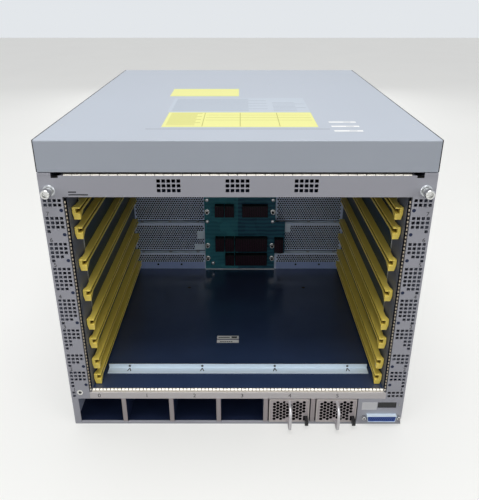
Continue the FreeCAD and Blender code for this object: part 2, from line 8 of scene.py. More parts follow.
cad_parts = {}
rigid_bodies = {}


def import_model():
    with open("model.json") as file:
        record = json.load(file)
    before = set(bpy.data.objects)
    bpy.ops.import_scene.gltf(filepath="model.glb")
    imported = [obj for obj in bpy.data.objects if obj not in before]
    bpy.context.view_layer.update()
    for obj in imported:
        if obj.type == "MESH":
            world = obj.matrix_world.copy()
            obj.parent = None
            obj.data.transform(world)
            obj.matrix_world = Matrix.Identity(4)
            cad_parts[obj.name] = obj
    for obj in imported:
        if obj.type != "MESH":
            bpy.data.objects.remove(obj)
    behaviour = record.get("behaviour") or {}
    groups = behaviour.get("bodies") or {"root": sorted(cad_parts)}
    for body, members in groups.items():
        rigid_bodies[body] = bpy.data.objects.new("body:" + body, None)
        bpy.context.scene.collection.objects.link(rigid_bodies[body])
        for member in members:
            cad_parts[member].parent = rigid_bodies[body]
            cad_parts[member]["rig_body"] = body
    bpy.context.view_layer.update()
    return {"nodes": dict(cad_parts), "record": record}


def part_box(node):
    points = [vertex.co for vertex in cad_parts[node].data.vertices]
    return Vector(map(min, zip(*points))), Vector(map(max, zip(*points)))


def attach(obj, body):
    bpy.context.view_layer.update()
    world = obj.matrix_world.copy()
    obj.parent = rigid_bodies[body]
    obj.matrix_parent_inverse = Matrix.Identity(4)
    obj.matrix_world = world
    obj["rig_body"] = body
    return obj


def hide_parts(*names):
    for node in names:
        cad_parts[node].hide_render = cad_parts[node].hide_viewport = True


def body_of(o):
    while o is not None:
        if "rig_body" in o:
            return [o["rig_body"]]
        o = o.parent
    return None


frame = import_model()


# Body sheets: base pan, side walls, rear frame, bay dividers and the header over the bays.
# Cold-rolled steel, folded on a press brake, spot-welded and powder coated in one pale grey; the header's
# paler, warmer coat is painted light, and the dark navy and pale bluish inner faces are painted shade and
# light.
# The coat flows over the bends and leaves every edge a little rounded.

mm = 0.001
slot_of = {part["node"]: part["material_slot"] for part in frame["record"]["subparts"]}


def linear(colour):
    """Turns an sRGB hex colour into linear red, green and blue with full alpha."""
    shares = [int(colour[i:i + 2], 16) / 255 for i in (1, 3, 5)]
    return [s / 12.92 if s <= 0.04045 else ((s + 0.055) / 1.055) ** 2.4 for s in shares] + [1.0]


def add_node(tree, kind, inputs=None, **settings):
    """Adds a node, sets its options, then fills or links its inputs by name or number."""
    node = tree.nodes.new(kind)
    for key, value in settings.items():
        setattr(node, key, value)
    for key, value in (inputs or {}).items():
        if isinstance(value, bpy.types.NodeSocket):
            tree.links.new(value, node.inputs[key])
        else:
            node.inputs[key].default_value = value
    return node


def new_finish(name, constants):
    """Starts a material: gives it, its tree, its shader with constants set, and Object coordinates."""
    finish = bpy.data.materials.new(name)
    finish.use_nodes = True
    tree = finish.node_tree
    tree.nodes.clear()
    shader = add_node(tree, "ShaderNodeBsdfPrincipled", constants)
    add_node(tree, "ShaderNodeOutputMaterial", {"Surface": shader.outputs["BSDF"]})
    place = add_node(tree, "ShaderNodeTexCoord").outputs["Object"]
    return finish, tree, shader, place


def feed(tree, shader, sources):
    """Links outputs to the shader's inputs by name."""
    for name, source in sources.items():
        tree.links.new(source, shader.inputs[name])


def mottled(tree, shader, place, patch_mm, tones, gloss, detail, grit=0.5):
    """Blends two tones and two roughness values with noise in patches of a real size."""
    patches = add_node(tree, "ShaderNodeTexNoise",
                       {"Vector": place, "Scale": 1 / (patch_mm * mm), "Detail": detail, "Roughness": grit})
    colour, shade = tones
    tone = add_node(tree, "ShaderNodeMix",
                    {0: patches.outputs[0], 6: linear(shade), 7: linear(colour)}, data_type="RGBA")
    sheen = add_node(tree, "ShaderNodeMapRange",
                     {"Value": patches.outputs[0], "To Min": gloss[0], "To Max": gloss[1]})
    feed(tree, shader, {"Base Color": tone.outputs[2], "Roughness": sheen.outputs[0]})


def grained(tree, shader, place, grain_mm, depth_mm, strength, detail, grit=0.5):
    """Gives the surface a fine relief with grain of a real size."""
    grain = add_node(tree, "ShaderNodeTexNoise",
                     {"Vector": place, "Scale": 1 / (grain_mm * mm), "Detail": detail, "Roughness": grit})
    relief = add_node(tree, "ShaderNodeBump",
                      {"Height": grain.outputs[0], "Strength": strength, "Distance": depth_mm * mm})
    feed(tree, shader, {"Normal": relief.outputs[0]})


def powder_coat(name, colour, shade):
    """Polyester powder coat, sprayed and baked: satin, with a fine orange peel and faint smudges."""
    peel_mm, peel_depth = 1.2, 0.06     # real peel is near 0.4 mm: drawn coarser so that it shows
    smudge_mm = 130.0
    finish, tree, shader, place = new_finish(name, {"IOR": 1.5})
    mottled(tree, shader, place, smudge_mm, (colour, shade), gloss=(0.36, 0.54), detail=6.0, grit=0.6)
    grained(tree, shader, place, peel_mm, peel_depth, strength=0.2, detail=2.0)
    return finish


def corners(node):
    """Lowest and highest corner of a CAD piece, in millimetres."""
    return [[value / mm for value in corner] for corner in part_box(node)]


def as_mesh(shape, name, sharp=None):
    """Makes a mesh of a shape; with an angle it is smooth, apart from edges sharper than that."""
    mesh = bpy.data.meshes.new(name)
    shape.to_mesh(mesh)
    shape.free()
    if sharp:
        mesh.shade_smooth()
        mesh.set_sharp_from_angle(angle=math.radians(sharp))
    return mesh


def plain_mesh(holder):
    """Turns an object with its modifiers into a plain mesh and removes the object."""
    bpy.context.collection.objects.link(holder)
    graph = bpy.context.evaluated_depsgraph_get()
    mesh = bpy.data.meshes.new_from_object(holder.evaluated_get(graph), preserve_all_data_layers=True,
                                           depsgraph=graph)
    bpy.data.objects.remove(holder)
    return mesh


def rounded(mesh, width, segments=2):
    """Rounds the sharp edges of a mesh and keeps its flat faces flat to the eye."""
    holder = bpy.data.objects.new("rounding", mesh)
    edges = holder.modifiers.new("rounded edges", "BEVEL")
    edges.width = width * mm
    edges.segments = segments
    edges.limit_method = "ANGLE"
    edges.angle_limit = math.radians(40)
    flats = holder.modifiers.new("flat faces", "WEIGHTED_NORMAL")
    flats.weight = 100
    mesh.shade_smooth()
    return plain_mesh(holder)


def fit(name, mesh, finish, slot, *nodes, body="chassis"):
    """Makes a finished mesh a piece that rides on a body and stands for CAD nodes, if any are named."""
    mesh.materials.clear()
    mesh.materials.append(finish)
    piece = bpy.data.objects.new(name, mesh)
    bpy.context.collection.objects.link(piece)
    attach(piece, body)
    if nodes:
        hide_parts(*nodes)
    return piece


def softened(node, width, finish):
    """Copies a CAD piece, joins its facets and rounds its edges as its making leaves them."""
    shape = bmesh.new()
    shape.from_mesh(frame["nodes"][node].data)
    bmesh.ops.remove_doubles(shape, verts=shape.verts, dist=0.002 * mm)
    bmesh.ops.dissolve_limit(shape, angle_limit=math.radians(1), verts=shape.verts, edges=shape.edges)
    body, = body_of(frame["nodes"][node])
    mesh = rounded(as_mesh(shape, node), width)
    return fit(node + "_finished", mesh, finish, slot_of[node], node, body=body)


def dark_film(name, colour, shade, roughness, sheen=0.5):
    """Dark satin coating on rolled sheet: smooth, with a soft sheen and slight cloudiness; also used as
    painted shade and light on inner faces, holes, seams and corners.
    """
    cloud_mm, rub_mm, rub_depth = 60.0, 2.5, 0.04
    finish, tree, shader, place = new_finish(name, {"IOR": 1.5, "Specular IOR Level": sheen})
    gloss = (roughness * 0.85, roughness * 1.2)
    mottled(tree, shader, place, cloud_mm, (colour, shade), gloss, detail=6.0)
    grained(tree, shader, place, rub_mm, rub_depth, strength=0.1, detail=4.0, grit=0.7)
    return finish


def repaint(piece, finish, chosen):
    """Gives a second finish to the faces that a test of their centre, in millimetres, and normal picks."""
    piece.data.materials.append(finish)
    for face in piece.data.polygons:
        if chosen(face.center / mm, face.normal):
            face.material_index = len(piece.data.materials) - 1


half, rear = corners("base_pan")[1][:2]
front = -rear
skin = 2.0
outer_layer = 0.7
fold_edge = 0.35
chassis_grey = powder_coat("grey_powder_coat", "#adaeb7", "#a2a3ac")
# Painted shade: this dark navy film stands for the shade deep inside the bays, behind the rear frame and in
# tapped holes.
navy_painted_shade = dark_film("navy_painted_shade_film", "#283350", "#1d2640", 0.4, 0.2)
# Painted light and shade: the side walls' inner faces are drawn a pale bluish grey for the dim bluish light
# in the plenum behind the ears, which the lamps hardly reach.
plenum_painted_light = dark_film("blue_grey_painted_plenum_light", "#c3cce2", "#b4bdd4", 0.5)
# Painted light: the header is drawn paler and warmer than the body, for the light the floor throws up onto
# it.
softened("bay_header", fold_edge, powder_coat("header_coat_painted_bounce_light", "#d2cecf", "#c7c3c4"))
rear_sheet = softened("rear_frame", fold_edge, chassis_grey)
# Painted shade on the rear frame's inner face, which lies in the dark behind the punched panels.
repaint(rear_sheet, navy_painted_shade, lambda centre, normal: normal.y < -0.5)
pan = softened("base_pan", fold_edge, chassis_grey)
# Painted shade on the pan inside the bays and on the dividers' sides: the sheet there is bare behind coated
# front edges, and its navy darkness is painted shade.
repaint(pan, navy_painted_shade, lambda centre, normal: normal.z > 0.5 and centre.y > front + 2 * skin)
divider_grey = powder_coat("divider_powder_coat", "#ada5a6", "#a29a9b")
dividers = softened("bay_dividers", fold_edge, divider_grey)
repaint(dividers, navy_painted_shade, lambda centre, normal: centre.y > front + skin)
for side, sign in (("left", -1), ("right", 1)):
    wall = softened("side_panel_" + side, fold_edge, chassis_grey)
    # The side walls' inner faces get the painted plenum light.
    repaint(wall, plenum_painted_light,
            lambda centre, normal: sign * centre.x < half - outer_layer and centre.y > front + 2 * skin)


# Rivets of the side walls and screws of the rear frame.
# Steel rivets, driven flush and coated with the sheet, hold the folded cage inside the walls.
# Zinc-plated pan-head screws with a cross recess hold the rear frame.

def turned(rings, steps=16, lobes=4):
    """Mesh of a turned piece that points to the front, from rings of radius, height and lobe depth."""
    shape = bmesh.new()
    loops = []
    for radius, height, depth in rings:
        angles = [2 * math.pi * k / steps for k in range(steps)]
        reaches = [radius * (1 + depth * math.cos(lobes * angle)) for angle in angles]
        loops.append([shape.verts.new((reach * math.cos(a) * mm, -height * mm, reach * math.sin(a) * mm))
                      for reach, a in zip(reaches, angles)])
    for lower, upper in zip(loops, loops[1:]):
        for k in range(steps):
            shape.faces.new((lower[k - 1], lower[k], upper[k], upper[k - 1]))
    shape.faces.new(loops[0])
    shape.faces.new(loops[-1])
    bmesh.ops.recalc_face_normals(shape, faces=shape.faces)
    return as_mesh(shape, "turned", sharp=38)


def copies_tree(listed):
    """Node tree that copies an item to listed places, or to columns and rows with odd rows shifted."""
    tree = bpy.data.node_groups.new("copies", "GeometryNodeTree")
    tree.interface.new_socket("Geometry", in_out="OUTPUT", socket_type="NodeSocketGeometry")
    inputs = [("Places", "Geometry")] if listed else [
        ("Columns", "Int"), ("Rows", "Int"), ("Start", "Vector"), ("Column step", "Vector"),
        ("Row step", "Vector"), ("Shift", "Float")]
    for name, kind in inputs + [("Item", "Object"), ("Material", "Material")]:
        tree.interface.new_socket(name, in_out="INPUT", socket_type="NodeSocket" + kind)
    given = add_node(tree, "NodeGroupInput").outputs
    if listed:
        places = given["Places"]
    else:
        index = add_node(tree, "GeometryNodeInputIndex").outputs[0]
        count = add_node(tree, "ShaderNodeMath", {0: given["Columns"], 1: given["Rows"]},
                         operation="MULTIPLY")
        column = add_node(tree, "ShaderNodeMath", {0: index, 1: given["Columns"]}, operation="MODULO")
        share = add_node(tree, "ShaderNodeMath", {0: index, 1: given["Columns"]}, operation="DIVIDE")
        row = add_node(tree, "ShaderNodeMath", {0: share.outputs[0]}, operation="FLOOR")
        odd = add_node(tree, "ShaderNodeMath", {0: row.outputs[0], 1: 2.0}, operation="MODULO")
        along = add_node(tree, "ShaderNodeMath",
                         {0: odd.outputs[0], 1: given["Shift"], 2: column.outputs[0]},
                         operation="MULTIPLY_ADD")
        across = add_node(tree, "ShaderNodeVectorMath",
                          {0: given["Column step"], "Scale": along.outputs[0]}, operation="SCALE")
        up = add_node(tree, "ShaderNodeVectorMath",
                      {0: given["Row step"], "Scale": row.outputs[0]}, operation="SCALE")
        step = add_node(tree, "ShaderNodeVectorMath", {0: across.outputs[0], 1: up.outputs[0]})
        place = add_node(tree, "ShaderNodeVectorMath", {0: step.outputs[0], 1: given["Start"]})
        places = add_node(tree, "GeometryNodePoints",
                          {"Count": count.outputs[0], "Position": place.outputs[0]}).outputs[0]
    item = add_node(tree, "GeometryNodeObjectInfo", {"Object": given["Item"]})
    copies = add_node(tree, "GeometryNodeInstanceOnPoints",
                      {"Points": places, "Instance": item.outputs["Geometry"]})
    real = add_node(tree, "GeometryNodeRealizeInstances", {"Geometry": copies.outputs[0]})
    dressed = add_node(tree, "GeometryNodeSetMaterial",
                       {"Geometry": real.outputs[0], "Material": given["Material"]})
    add_node(tree, "NodeGroupOutput", {"Geometry": dressed.outputs[0]})
    return tree


grid_tree = copies_tree(listed=False)
places_tree = copies_tree(listed=True)


def copied(item, finish, places=(), **sizes):
    """Runs a copies tree on an item's mesh, with places or grid sizes in millimetres, as a plain mesh."""
    thing = bpy.data.objects.new("item", item)
    bpy.context.collection.objects.link(thing)
    points = bpy.data.meshes.new("places")
    points.from_pydata([[value * mm for value in place] for place in places], [], [])
    holder = bpy.data.objects.new("copies", points)
    maker = holder.modifiers.new("copies", "NODES")
    maker.node_group = places_tree if places else grid_tree
    values = {"Item": thing, "Material": finish, "Rows": 1, "Row step": (0, 0, 0), "Shift": 0.0}
    values.update((key.replace("_", " ").capitalize(), size) for key, size in sizes.items())
    for socket in maker.node_group.interface.items_tree:
        if socket.in_out == "INPUT" and socket.name in values:
            value = values[socket.name]
            if socket.socket_type == "NodeSocketVector":
                value = [length * mm for length in value]
            maker[socket.identifier] = value
    mesh = plain_mesh(holder)
    bpy.data.objects.remove(thing)
    return mesh


def fit_copies(name, item, finish, slot, places=(), body="chassis", **sizes):
    """Makes the copies of an item one piece that rides on a body."""
    return fit(name, copied(item, finish, places, **sizes), finish, slot, body=body)


def facing(mesh, axis, degrees):
    """Turns an item that points to the front about an axis."""
    mesh.transform(Matrix.Rotation(math.radians(degrees), 4, axis))
    return mesh


def moved(mesh, x, y, z):
    """Moves an item by millimetres along each axis."""
    mesh.transform(Matrix.Translation((x * mm, y * mm, z * mm)))
    return mesh


def plating(name, colour, shade, roughness, streak_mm, along, metallic=1.0):
    """Plated or bare metal, rolled or brushed along one axis: soft streaks in tone and gloss."""
    stretch = 14.0
    finish, tree, shader, place = new_finish(name, {"Metallic": metallic})
    scale = [1.0, 1.0, 1.0]
    scale[along] /= stretch
    drawn = add_node(tree, "ShaderNodeMapping", {"Vector": place, "Scale": scale})
    gloss = (roughness * 0.8, roughness * 1.25)
    mottled(tree, shader, drawn.outputs[0], streak_mm, (colour, shade), gloss, detail=4.0)
    return finish


def pan_head(radius, height):
    """Pan-head screw with a cross recess."""
    dome = [(radius, 0, 0), (radius, height * 0.45, 0), (radius * 0.82, height * 0.85, 0)]
    cross = [(radius * 0.62, height, 0), (radius * 0.34, height, 0.55), (radius * 0.2, height * 0.3, 0.4)]
    return turned(dome + cross)


zinc = plating("zinc_plated_steel", "#d4d6d8", "#b4b7bb", 0.3, 2.0, 0)
rivet = [(2.6, -0.1, 0), (2.6, 0.15, 0), (2.2, 0.45, 0), (1.2, 0.6, 0)]
rivet_pitch, rivet_rise, rivet_inset, rivet_foot = 72.5, 163.0, 24.0, 14.0
for side, sign in (("left", -1), ("right", 1)):
    fit_copies("side_rivets_" + side, facing(turned(rivet, steps=12), "Z", sign * 90), chassis_grey,
               "chassis_paint", columns=8, rows=3, start=(sign * half, front + rivet_inset, rivet_foot),
               column_step=(0, rivet_pitch, 0), row_step=(0, 0, rivet_rise))
frame_face = corners("rear_frame")[1][1]
frame_inset, frame_head = 13.0, 343.0
rear_places = [(sign * (half - frame_inset), frame_face, z) for sign in (-1, 1) for z in (66, 190, 314)]
rear_places += [(x, frame_face, frame_head) for x in (-180, -60, 60, 180)]
fit_copies("rear_frame_screws", facing(pan_head(3.4, 2.0), "Z", 180), zinc, "plated_steel", rear_places)


# Mains inlets at the rear, one behind each bay.
# Moulded black thermoplastic shells, snapped into the rear frame from outside.
# Each has three nickel-plated blades, the earth one above and longer than the other two.

def moulded(name, colour, shade, roughness, grain_mm, depth_mm=0.03, sheen=0.5):
    """Injection-moulded plastic with a spark-eroded grain: even colour, soft broken gloss."""
    flow_mm = 40.0
    finish, tree, shader, place = new_finish(name, {"IOR": 1.49, "Specular IOR Level": sheen})
    gloss = (roughness * 0.85, roughness * 1.2)
    mottled(tree, shader, place, flow_mm, (colour, shade), gloss, detail=4.0)
    grained(tree, shader, place, grain_mm, depth_mm, strength=0.25, detail=3.0)
    return finish


def blocks(boxes, width=0.0):
    """Mesh of boxes, each given by its lowest and highest corner in millimetres, with rounded edges."""
    shape = bmesh.new()
    for low, high in boxes:
        size = [(b - a) * mm for a, b in zip(low, high)]
        centre = [(a + b) / 2 * mm for a, b in zip(low, high)]
        bmesh.ops.create_cube(shape, size=1.0,
                              matrix=Matrix.Translation(centre) @ Matrix.Diagonal(size + [1.0]))
    mesh = as_mesh(shape, "blocks")
    return rounded(mesh, width) if width else mesh


black_moulding = moulded("black_thermoplastic", "#232327", "#17171a", 0.42, 0.9)
softened("ac_inlets", 0.4, black_moulding)
bay_pitch, first_bay, bays = 63.5, -184.75, 6
inlet_z = 23.4
blade = blocks([((-1, 261, -4), (1, 275, 2))], 0.4)
earth_blade = blocks([((-1, 261, -1), (1, 277, 5))], 0.4)
for name, item, aside, rise in (("left", blade, -7, -1), ("right", blade, 7, -1),
                                ("earth", earth_blade, 0, 1.5)):
    fit_copies("inlet_blades_" + name, item, zinc, "plated_steel", columns=bays,
               start=(first_bay + aside, 0, inlet_z + rise), column_step=(bay_pitch, 0, 0))


# Fan trays and their rotors.
# A tray is folded steel with a slotted grille, a strap handle and the fan's shroud.
# The rotor is one glass-filled moulding on the motor, with pitched blades.

tray_grey = powder_coat("tray_powder_coat", "#b6b8c0", "#aaacb4")
rotor_black = moulded("glass_filled_black", "#26262a", "#1b1b1e", 0.5, 1.2)
tray_inset, tray_middle = 8.0, 191.0
for side in ("left", "right"):
    tray = softened("fan_tray_" + side, 0.4, tray_grey)
    # Partly painted shade: the fan's shroud is black plastic, and the tray's faces that look into the
    # chassis also take the black as painted shade behind the punched panels.
    repaint(tray, rotor_black, lambda centre, normal: centre.y < frame_face - 0.1 or normal.y < -0.5)
    softened("fan_rotor_" + side, 0.6, rotor_black)
    low, high = corners("fan_tray_" + side)
    tray_places = [(x, rear, z) for x in (low[0] + tray_inset, high[0] - tray_inset)
                   for z in (low[2] + tray_inset, tray_middle, high[2] - tray_inset)]
    fit_copies("fan_tray_screws_" + side, facing(pan_head(3.6, 2.2), "Z", 180), zinc, "plated_steel",
               tray_places, body="fan_tray_" + side)


# Card cage: floor, side sheets and ceiling.
# Thin steel sheet with a smooth dark blue-black coating that mirrors the guides softly.
# The floor has two round holes; a small white tag with plain bars lies near its middle.

def label_stock(name, colour, shade):
    """Printed paper or film: flat, matt, with a faint fibre."""
    fibre_mm = 2.5
    finish, tree, shader, place = new_finish(name, {"Roughness": 0.55, "IOR": 1.45})
    fibre = add_node(tree, "ShaderNodeTexNoise",
                     {"Vector": place, "Scale": 1 / (fibre_mm * mm), "Detail": 5.0})
    tone = add_node(tree, "ShaderNodeMix",
                    {0: fibre.outputs[0], 6: linear(shade), 7: linear(colour)}, data_type="RGBA")
    feed(tree, shader, {"Base Color": tone.outputs[2]})
    return finish


cage_film = dark_film("dark_satin_coating", "#37486c", "#2c3a58", 0.2, 0.9)
side_film = dark_film("teal_satin_coating", "#22394a", "#182b39", 0.4)
for sheet_node in ("cage_floor", "cage_ceiling"):
    softened(sheet_node, 0.25, cage_film)
for sheet_node in ("cage_side_left", "cage_side_right"):
    cage_wall = softened(sheet_node, 0.25, side_film)
    # Painted highlight: the front edges of the cage's side sheets take bright zinc, for the light that
    # catches them.
    repaint(cage_wall, zinc, lambda centre, normal: normal.y < -0.5 and centre.y < 0)
floor_z = corners("cage_floor")[1][2]
# Painted shade: holes, bores and hollows are drawn as dark discs or dark faces of this film instead of open
# hollows in shade.
hollow_shade = dark_film("unlit_hole", "#050506", "#020203", 0.7, 0.1)
# The floor's two holes are dark discs of painted shade.
floor_hole = facing(turned([(3.0, 0.0, 0), (3.0, 0.05, 0), (2.4, 0.12, 0), (0.4, 0.05, 0)]), "X", -90)
hole_places = [(x, 2.7, floor_z) for x in (-87.1, 114.9)]
fit_copies("floor_holes", floor_hole, hollow_shade, "cage_steel", hole_places)
tag_paper = label_stock("white_tag", "#f4f4f2", "#e6e6e4")
ink = label_stock("dark_print", "#2c2e33", "#222429")
tag_left, tag_front, tag_top = -32.0, front + 109, floor_z + 0.12
tag_wide, tag_deep, print_gap, print_thick = 33.0, 8.2, 0.8, 0.05
tag_fields = [((tag_left, tag_front + y, floor_z), (tag_left + tag_wide, tag_front + y + tag_deep, tag_top))
              for y in (0, 10.4)]
fit("floor_tag", blocks(tag_fields), tag_paper, "cage_steel")
tag_bars = [(5 + 3.2 * k, 1.6, 3.2, 2.0) for k in range(6)] + [(2, 13.2, 18, 2.0), (22, 12.2, 9, 4.6)]
tag_print = [((tag_left + x, tag_front + y, tag_top),
              (tag_left + x + wide - print_gap, tag_front + y + deep, tag_top + print_thick))
             for x, y, wide, deep in tag_bars]
fit("floor_tag_print", blocks(tag_print), ink, "cage_steel")


# Bright angle on the cage floor.
# Rolled aluminium, riveted down just behind the opening, with four printed insertion marks.
# Each mark is a dot on the upstand and a small open arrow before it that points to the rear.

def merged(meshes):
    """One mesh of several, with shared corners joined."""
    shape = bmesh.new()
    for mesh in meshes:
        shape.from_mesh(mesh)
    bmesh.ops.remove_doubles(shape, verts=shape.verts, dist=0.002 * mm)
    return as_mesh(shape, "merged")


def arrow_mark():
    """Open arrow that points to the rear, printed on a level face."""
    shape = bmesh.new()
    outline = [(-3.0, -3.4), (-1.6, -3.4), (0, 1.3), (1.6, -3.4), (3.0, -3.4), (0.8, 3.3), (-0.8, 3.3)]
    face = shape.faces.new([shape.verts.new((x * mm, y * mm, 0)) for x, y in outline])
    raised = bmesh.ops.extrude_face_region(shape, geom=[face])["geom"]
    bmesh.ops.translate(shape, vec=(0, 0, 0.06 * mm),
                        verts=[v for v in raised if isinstance(v, bmesh.types.BMVert)])
    bmesh.ops.recalc_face_normals(shape, faces=shape.faces)
    return as_mesh(shape, "arrow")


aluminium = plating("rolled_aluminium", "#e4f1fc", "#d2e3f1", 0.42, 1.6, 0, 0.12)
softened("floor_strip", 0.3, aluminium)
strip_back, strip_thick = corners("floor_strip")[1][1], 1.2
first_mark = -151.0
marks = {"columns": 4, "column_step": (101.2, 0, 0)}
arrows = copied(arrow_mark(), ink, start=(first_mark, strip_back - 5.5, floor_z + strip_thick), **marks)
dots = copied(turned([(1.7, -0.1, 0), (1.7, 0.05, 0), (0.5, 0.06, 0)]), ink,
              start=(first_mark, strip_back - strip_thick, floor_z + 4.2), **marks)
fit("floor_strip_marks", merged([arrows, dots]), ink, "bare_aluminium")


# Midplane board with its connectors, guide pins and screws.
# Glass-epoxy laminate with dark green resist; black press-fit connectors with maroon contact wafers.
# Bright hollow pins guide the cards home, and cross-recess screws hold the board to the rear wall.

def laminate(name, split):
    """Glass-epoxy board under solder resist: a paler zone left of a split, copper areas, fine traces."""
    area_mm, trace_mm = 17.0, 2.4
    finish, tree, shader, place = new_finish(name, {"Roughness": 0.4, "Specular IOR Level": 0.15})
    across = add_node(tree, "ShaderNodeSeparateXYZ", {0: place})
    zone = add_node(tree, "ShaderNodeMath", {0: across.outputs[0], 1: split * mm}, operation="LESS_THAN")
    ground = add_node(tree, "ShaderNodeMix",
                      {0: zone.outputs[0], 6: linear("#1f425b"), 7: linear("#2a6474")}, data_type="RGBA")
    copper = add_node(tree, "ShaderNodeMix",
                      {0: zone.outputs[0], 6: linear("#28586f"), 7: linear("#3a8290")}, data_type="RGBA")
    areas = add_node(tree, "ShaderNodeTexVoronoi",
                     {"Vector": place, "Scale": 1 / (area_mm * mm), "Randomness": 0.8},
                     distance="CHEBYCHEV")
    traces = add_node(tree, "ShaderNodeTexWave",
                      {"Vector": place, "Scale": 1 / (trace_mm * mm) / 10, "Distortion": 3.0,
                       "Detail": 1.0, "Detail Scale": 0.6}, bands_direction="Z")
    tone = add_node(tree, "ShaderNodeMix",
                    {0: areas.outputs["Color"], 6: ground.outputs[2], 7: copper.outputs[2]},
                    data_type="RGBA")
    fine = add_node(tree, "ShaderNodeMath", {0: traces.outputs[0], 1: 0.3}, operation="MULTIPLY")
    lines = add_node(tree, "ShaderNodeMix",
                     {0: fine.outputs[0], 6: tone.outputs[2], 7: linear("#4c98a2")}, data_type="RGBA")
    relief = add_node(tree, "ShaderNodeBump",
                      {"Height": traces.outputs[0], "Strength": 0.2, "Distance": 0.04 * mm})
    feed(tree, shader, {"Base Color": lines.outputs[2], "Normal": relief.outputs[0]})
    return finish


def solids(node):
    """Lowest and highest corner of each separate solid of a CAD piece, in millimetres."""
    shape = bmesh.new()
    shape.from_mesh(frame["nodes"][node].data)
    bmesh.ops.remove_doubles(shape, verts=shape.verts, dist=0.002 * mm)
    loose = set(shape.verts)
    boxes = []
    while loose:
        group = [loose.pop()]
        for vertex in group:
            joined = {edge.other_vert(vertex) for edge in vertex.link_edges} & loose
            group += joined
            loose -= joined
        boxes.append([[pick(vertex.co[i] for vertex in group) / mm for i in range(3)]
                      for pick in (min, max)])
    shape.free()
    return sorted(boxes)


softened("midplane_board", 0.15, laminate("green_laminate", -1.0))
connector_black = moulded("black_connector", "#141114", "#0c0a0c", 0.45, 0.9, sheen=0.15)
softened("midplane_connectors", 0.3, connector_black)
contact_maroon = moulded("maroon_wafer", "#3a1730", "#2a1024", 0.45, 0.8, sheen=0.15)
wafer_pitch, wafer_width, wafer_inset = 3.2, 1.3, 1.6
wafers = []
for low, high in solids("midplane_connectors"):
    across = high[0] - low[0]
    count = int((across - 2 * wafer_inset) / wafer_pitch) + 1
    margin = (across - (count - 1) * wafer_pitch - wafer_width) / 2
    wafer = blocks([((0, -0.8, wafer_inset), (wafer_width, 0.2, high[2] - low[2] - wafer_inset))], 0.15)
    wafers.append(copied(wafer, contact_maroon, columns=count, start=(low[0] + margin, low[1], low[2]),
                         column_step=(wafer_pitch, 0, 0)))
fit("contact_wafers", merged(wafers), contact_maroon, "connector_plastic")
board_face, board_foot = corners("midplane_board")[0][1:]
nickel = plating("bright_nickel", "#dcdcda", "#c4c4c2", 0.2, 1.5, 1)
pin_places = [((low[0] + high[0]) / 2, board_face, (low[2] + high[2]) / 2)
              for low, high in solids("midplane_pins")]
guide_pin = turned([(4.5, 0, 0), (4.5, 1.8, 0), (4.2, 2.1, 0), (3.7, 2.1, 0), (3.7, 6.5, 0), (3.3, 7.0, 0),
                    (2.5, 7.0, 0), (2.3, 2.0, 0)])
fit("guide_pins", copied(guide_pin, nickel, pin_places), nickel, "plated_steel", "midplane_pins")
# Painted shade: a dark plug fills the bore of each hollow pin.
pin_bore = turned([(2.35, 2.0, 0), (2.35, 6.2, 0), (0.4, 6.0, 0)])
fit_copies("guide_pin_bores", pin_bore, hollow_shade, "plated_steel", pin_places)
board_screws = [(x, z) for z in (154, 195.5, 320) for x in (-57, 62)] + [(-48, 70), (77, 92.6)]
fit_copies("midplane_screws", pan_head(3.6, 2.4), zinc, "plated_steel",
           [(x, board_face, z) for x, z in board_screws])
board_left, board_right = -62.0, 67.0
foot_strip = [((board_left, board_face - 3, board_foot), (board_right, board_face - 0.1, board_foot + 1))]
fit("board_foot_strip", blocks(foot_strip, 0.2), zinc, "plated_steel")


# Perforated air panels left and right of the midplane, in three stepped bands.
# Bare aluminium sheet, punched with staggered 3.5 mm holes, folded back above into a ledge.
# Screws through the ledges hold each band to the next; the low band stands on a plain flange.

def punched_tile(across, up, radius, thick, sides=8):
    """One cell of the punched sheet: a rectangle with a round hole, of the sheet's thickness."""
    shape = bmesh.new()
    outer = [(-across / 2, -up / 2), (0, -up / 2), (across / 2, -up / 2),
             (across / 2, up / 2), (0, up / 2), (-across / 2, up / 2)]
    turns = [2 * math.pi * (k + 0.5) / sides for k in range(sides)]
    inner = [(radius * math.cos(t), radius * math.sin(t)) for t in turns]
    rims = []
    for y in (0, thick):
        rings = [[shape.verts.new((x * mm, y * mm, z * mm)) for x, z in ring] for ring in (outer, inner)]
        edges = [shape.edges.new((ring[k - 1], ring[k])) for ring in rings for k in range(len(ring))]
        outwards = (0, 1 if y else -1, 0)
        filled = bmesh.ops.triangle_fill(shape, use_beauty=True, edges=edges, normal=outwards)
        for face in filled["geom"]:
            if isinstance(face, bmesh.types.BMFace) and (face.normal.y > 0) != (y > 0):
                face.normal_flip()
        rims.append(rings[1])
    for k in range(sides):
        shape.faces.new((rims[0][k - 1], rims[0][k], rims[1][k], rims[1][k - 1]))
    return as_mesh(shape, "tile")


panel_metal = plating("punched_aluminium", "#d6e3f9", "#c4d2ec", 0.36, 1.8, 0, 0.12)
hole_pitch, hole_row, hole_radius, panel_thick = 4.3, 3.72, 1.75, 1.0
tile = punched_tile(hole_pitch, hole_row, hole_radius, panel_thick)
half_tile = blocks([((-hole_pitch / 4, 0, -hole_row / 2), (hole_pitch / 4, panel_thick, hole_row / 2))])
foot_margins = {"low": 14.0, "middle": 1.5, "high": 1.5}
side_margin, head_margin = 1.5, 2.0
shade_mats, mat_gap, mat_thick = [], 0.3, 3.0
ledge_inset = 14.0
# Painted reflection and shade: the low band's plain flange, in shade near the floor, is drawn bluer for the
# dark blue floor that it mirrors.
flange_reflection = plating("painted_reflection_aluminium", "#a3b6e2", "#94a8d6", 0.4, 1.8, 0, 0.1)
flange_hole = turned([(1.9, -0.3, 0), (1.9, 0.05, 0), (1.5, 0.1, 0), (0.3, 0.05, 0)])
flange_first, flange_pitch, flange_rise = {"left": -151.5, "right": 107.5}, 44.0, 9.0
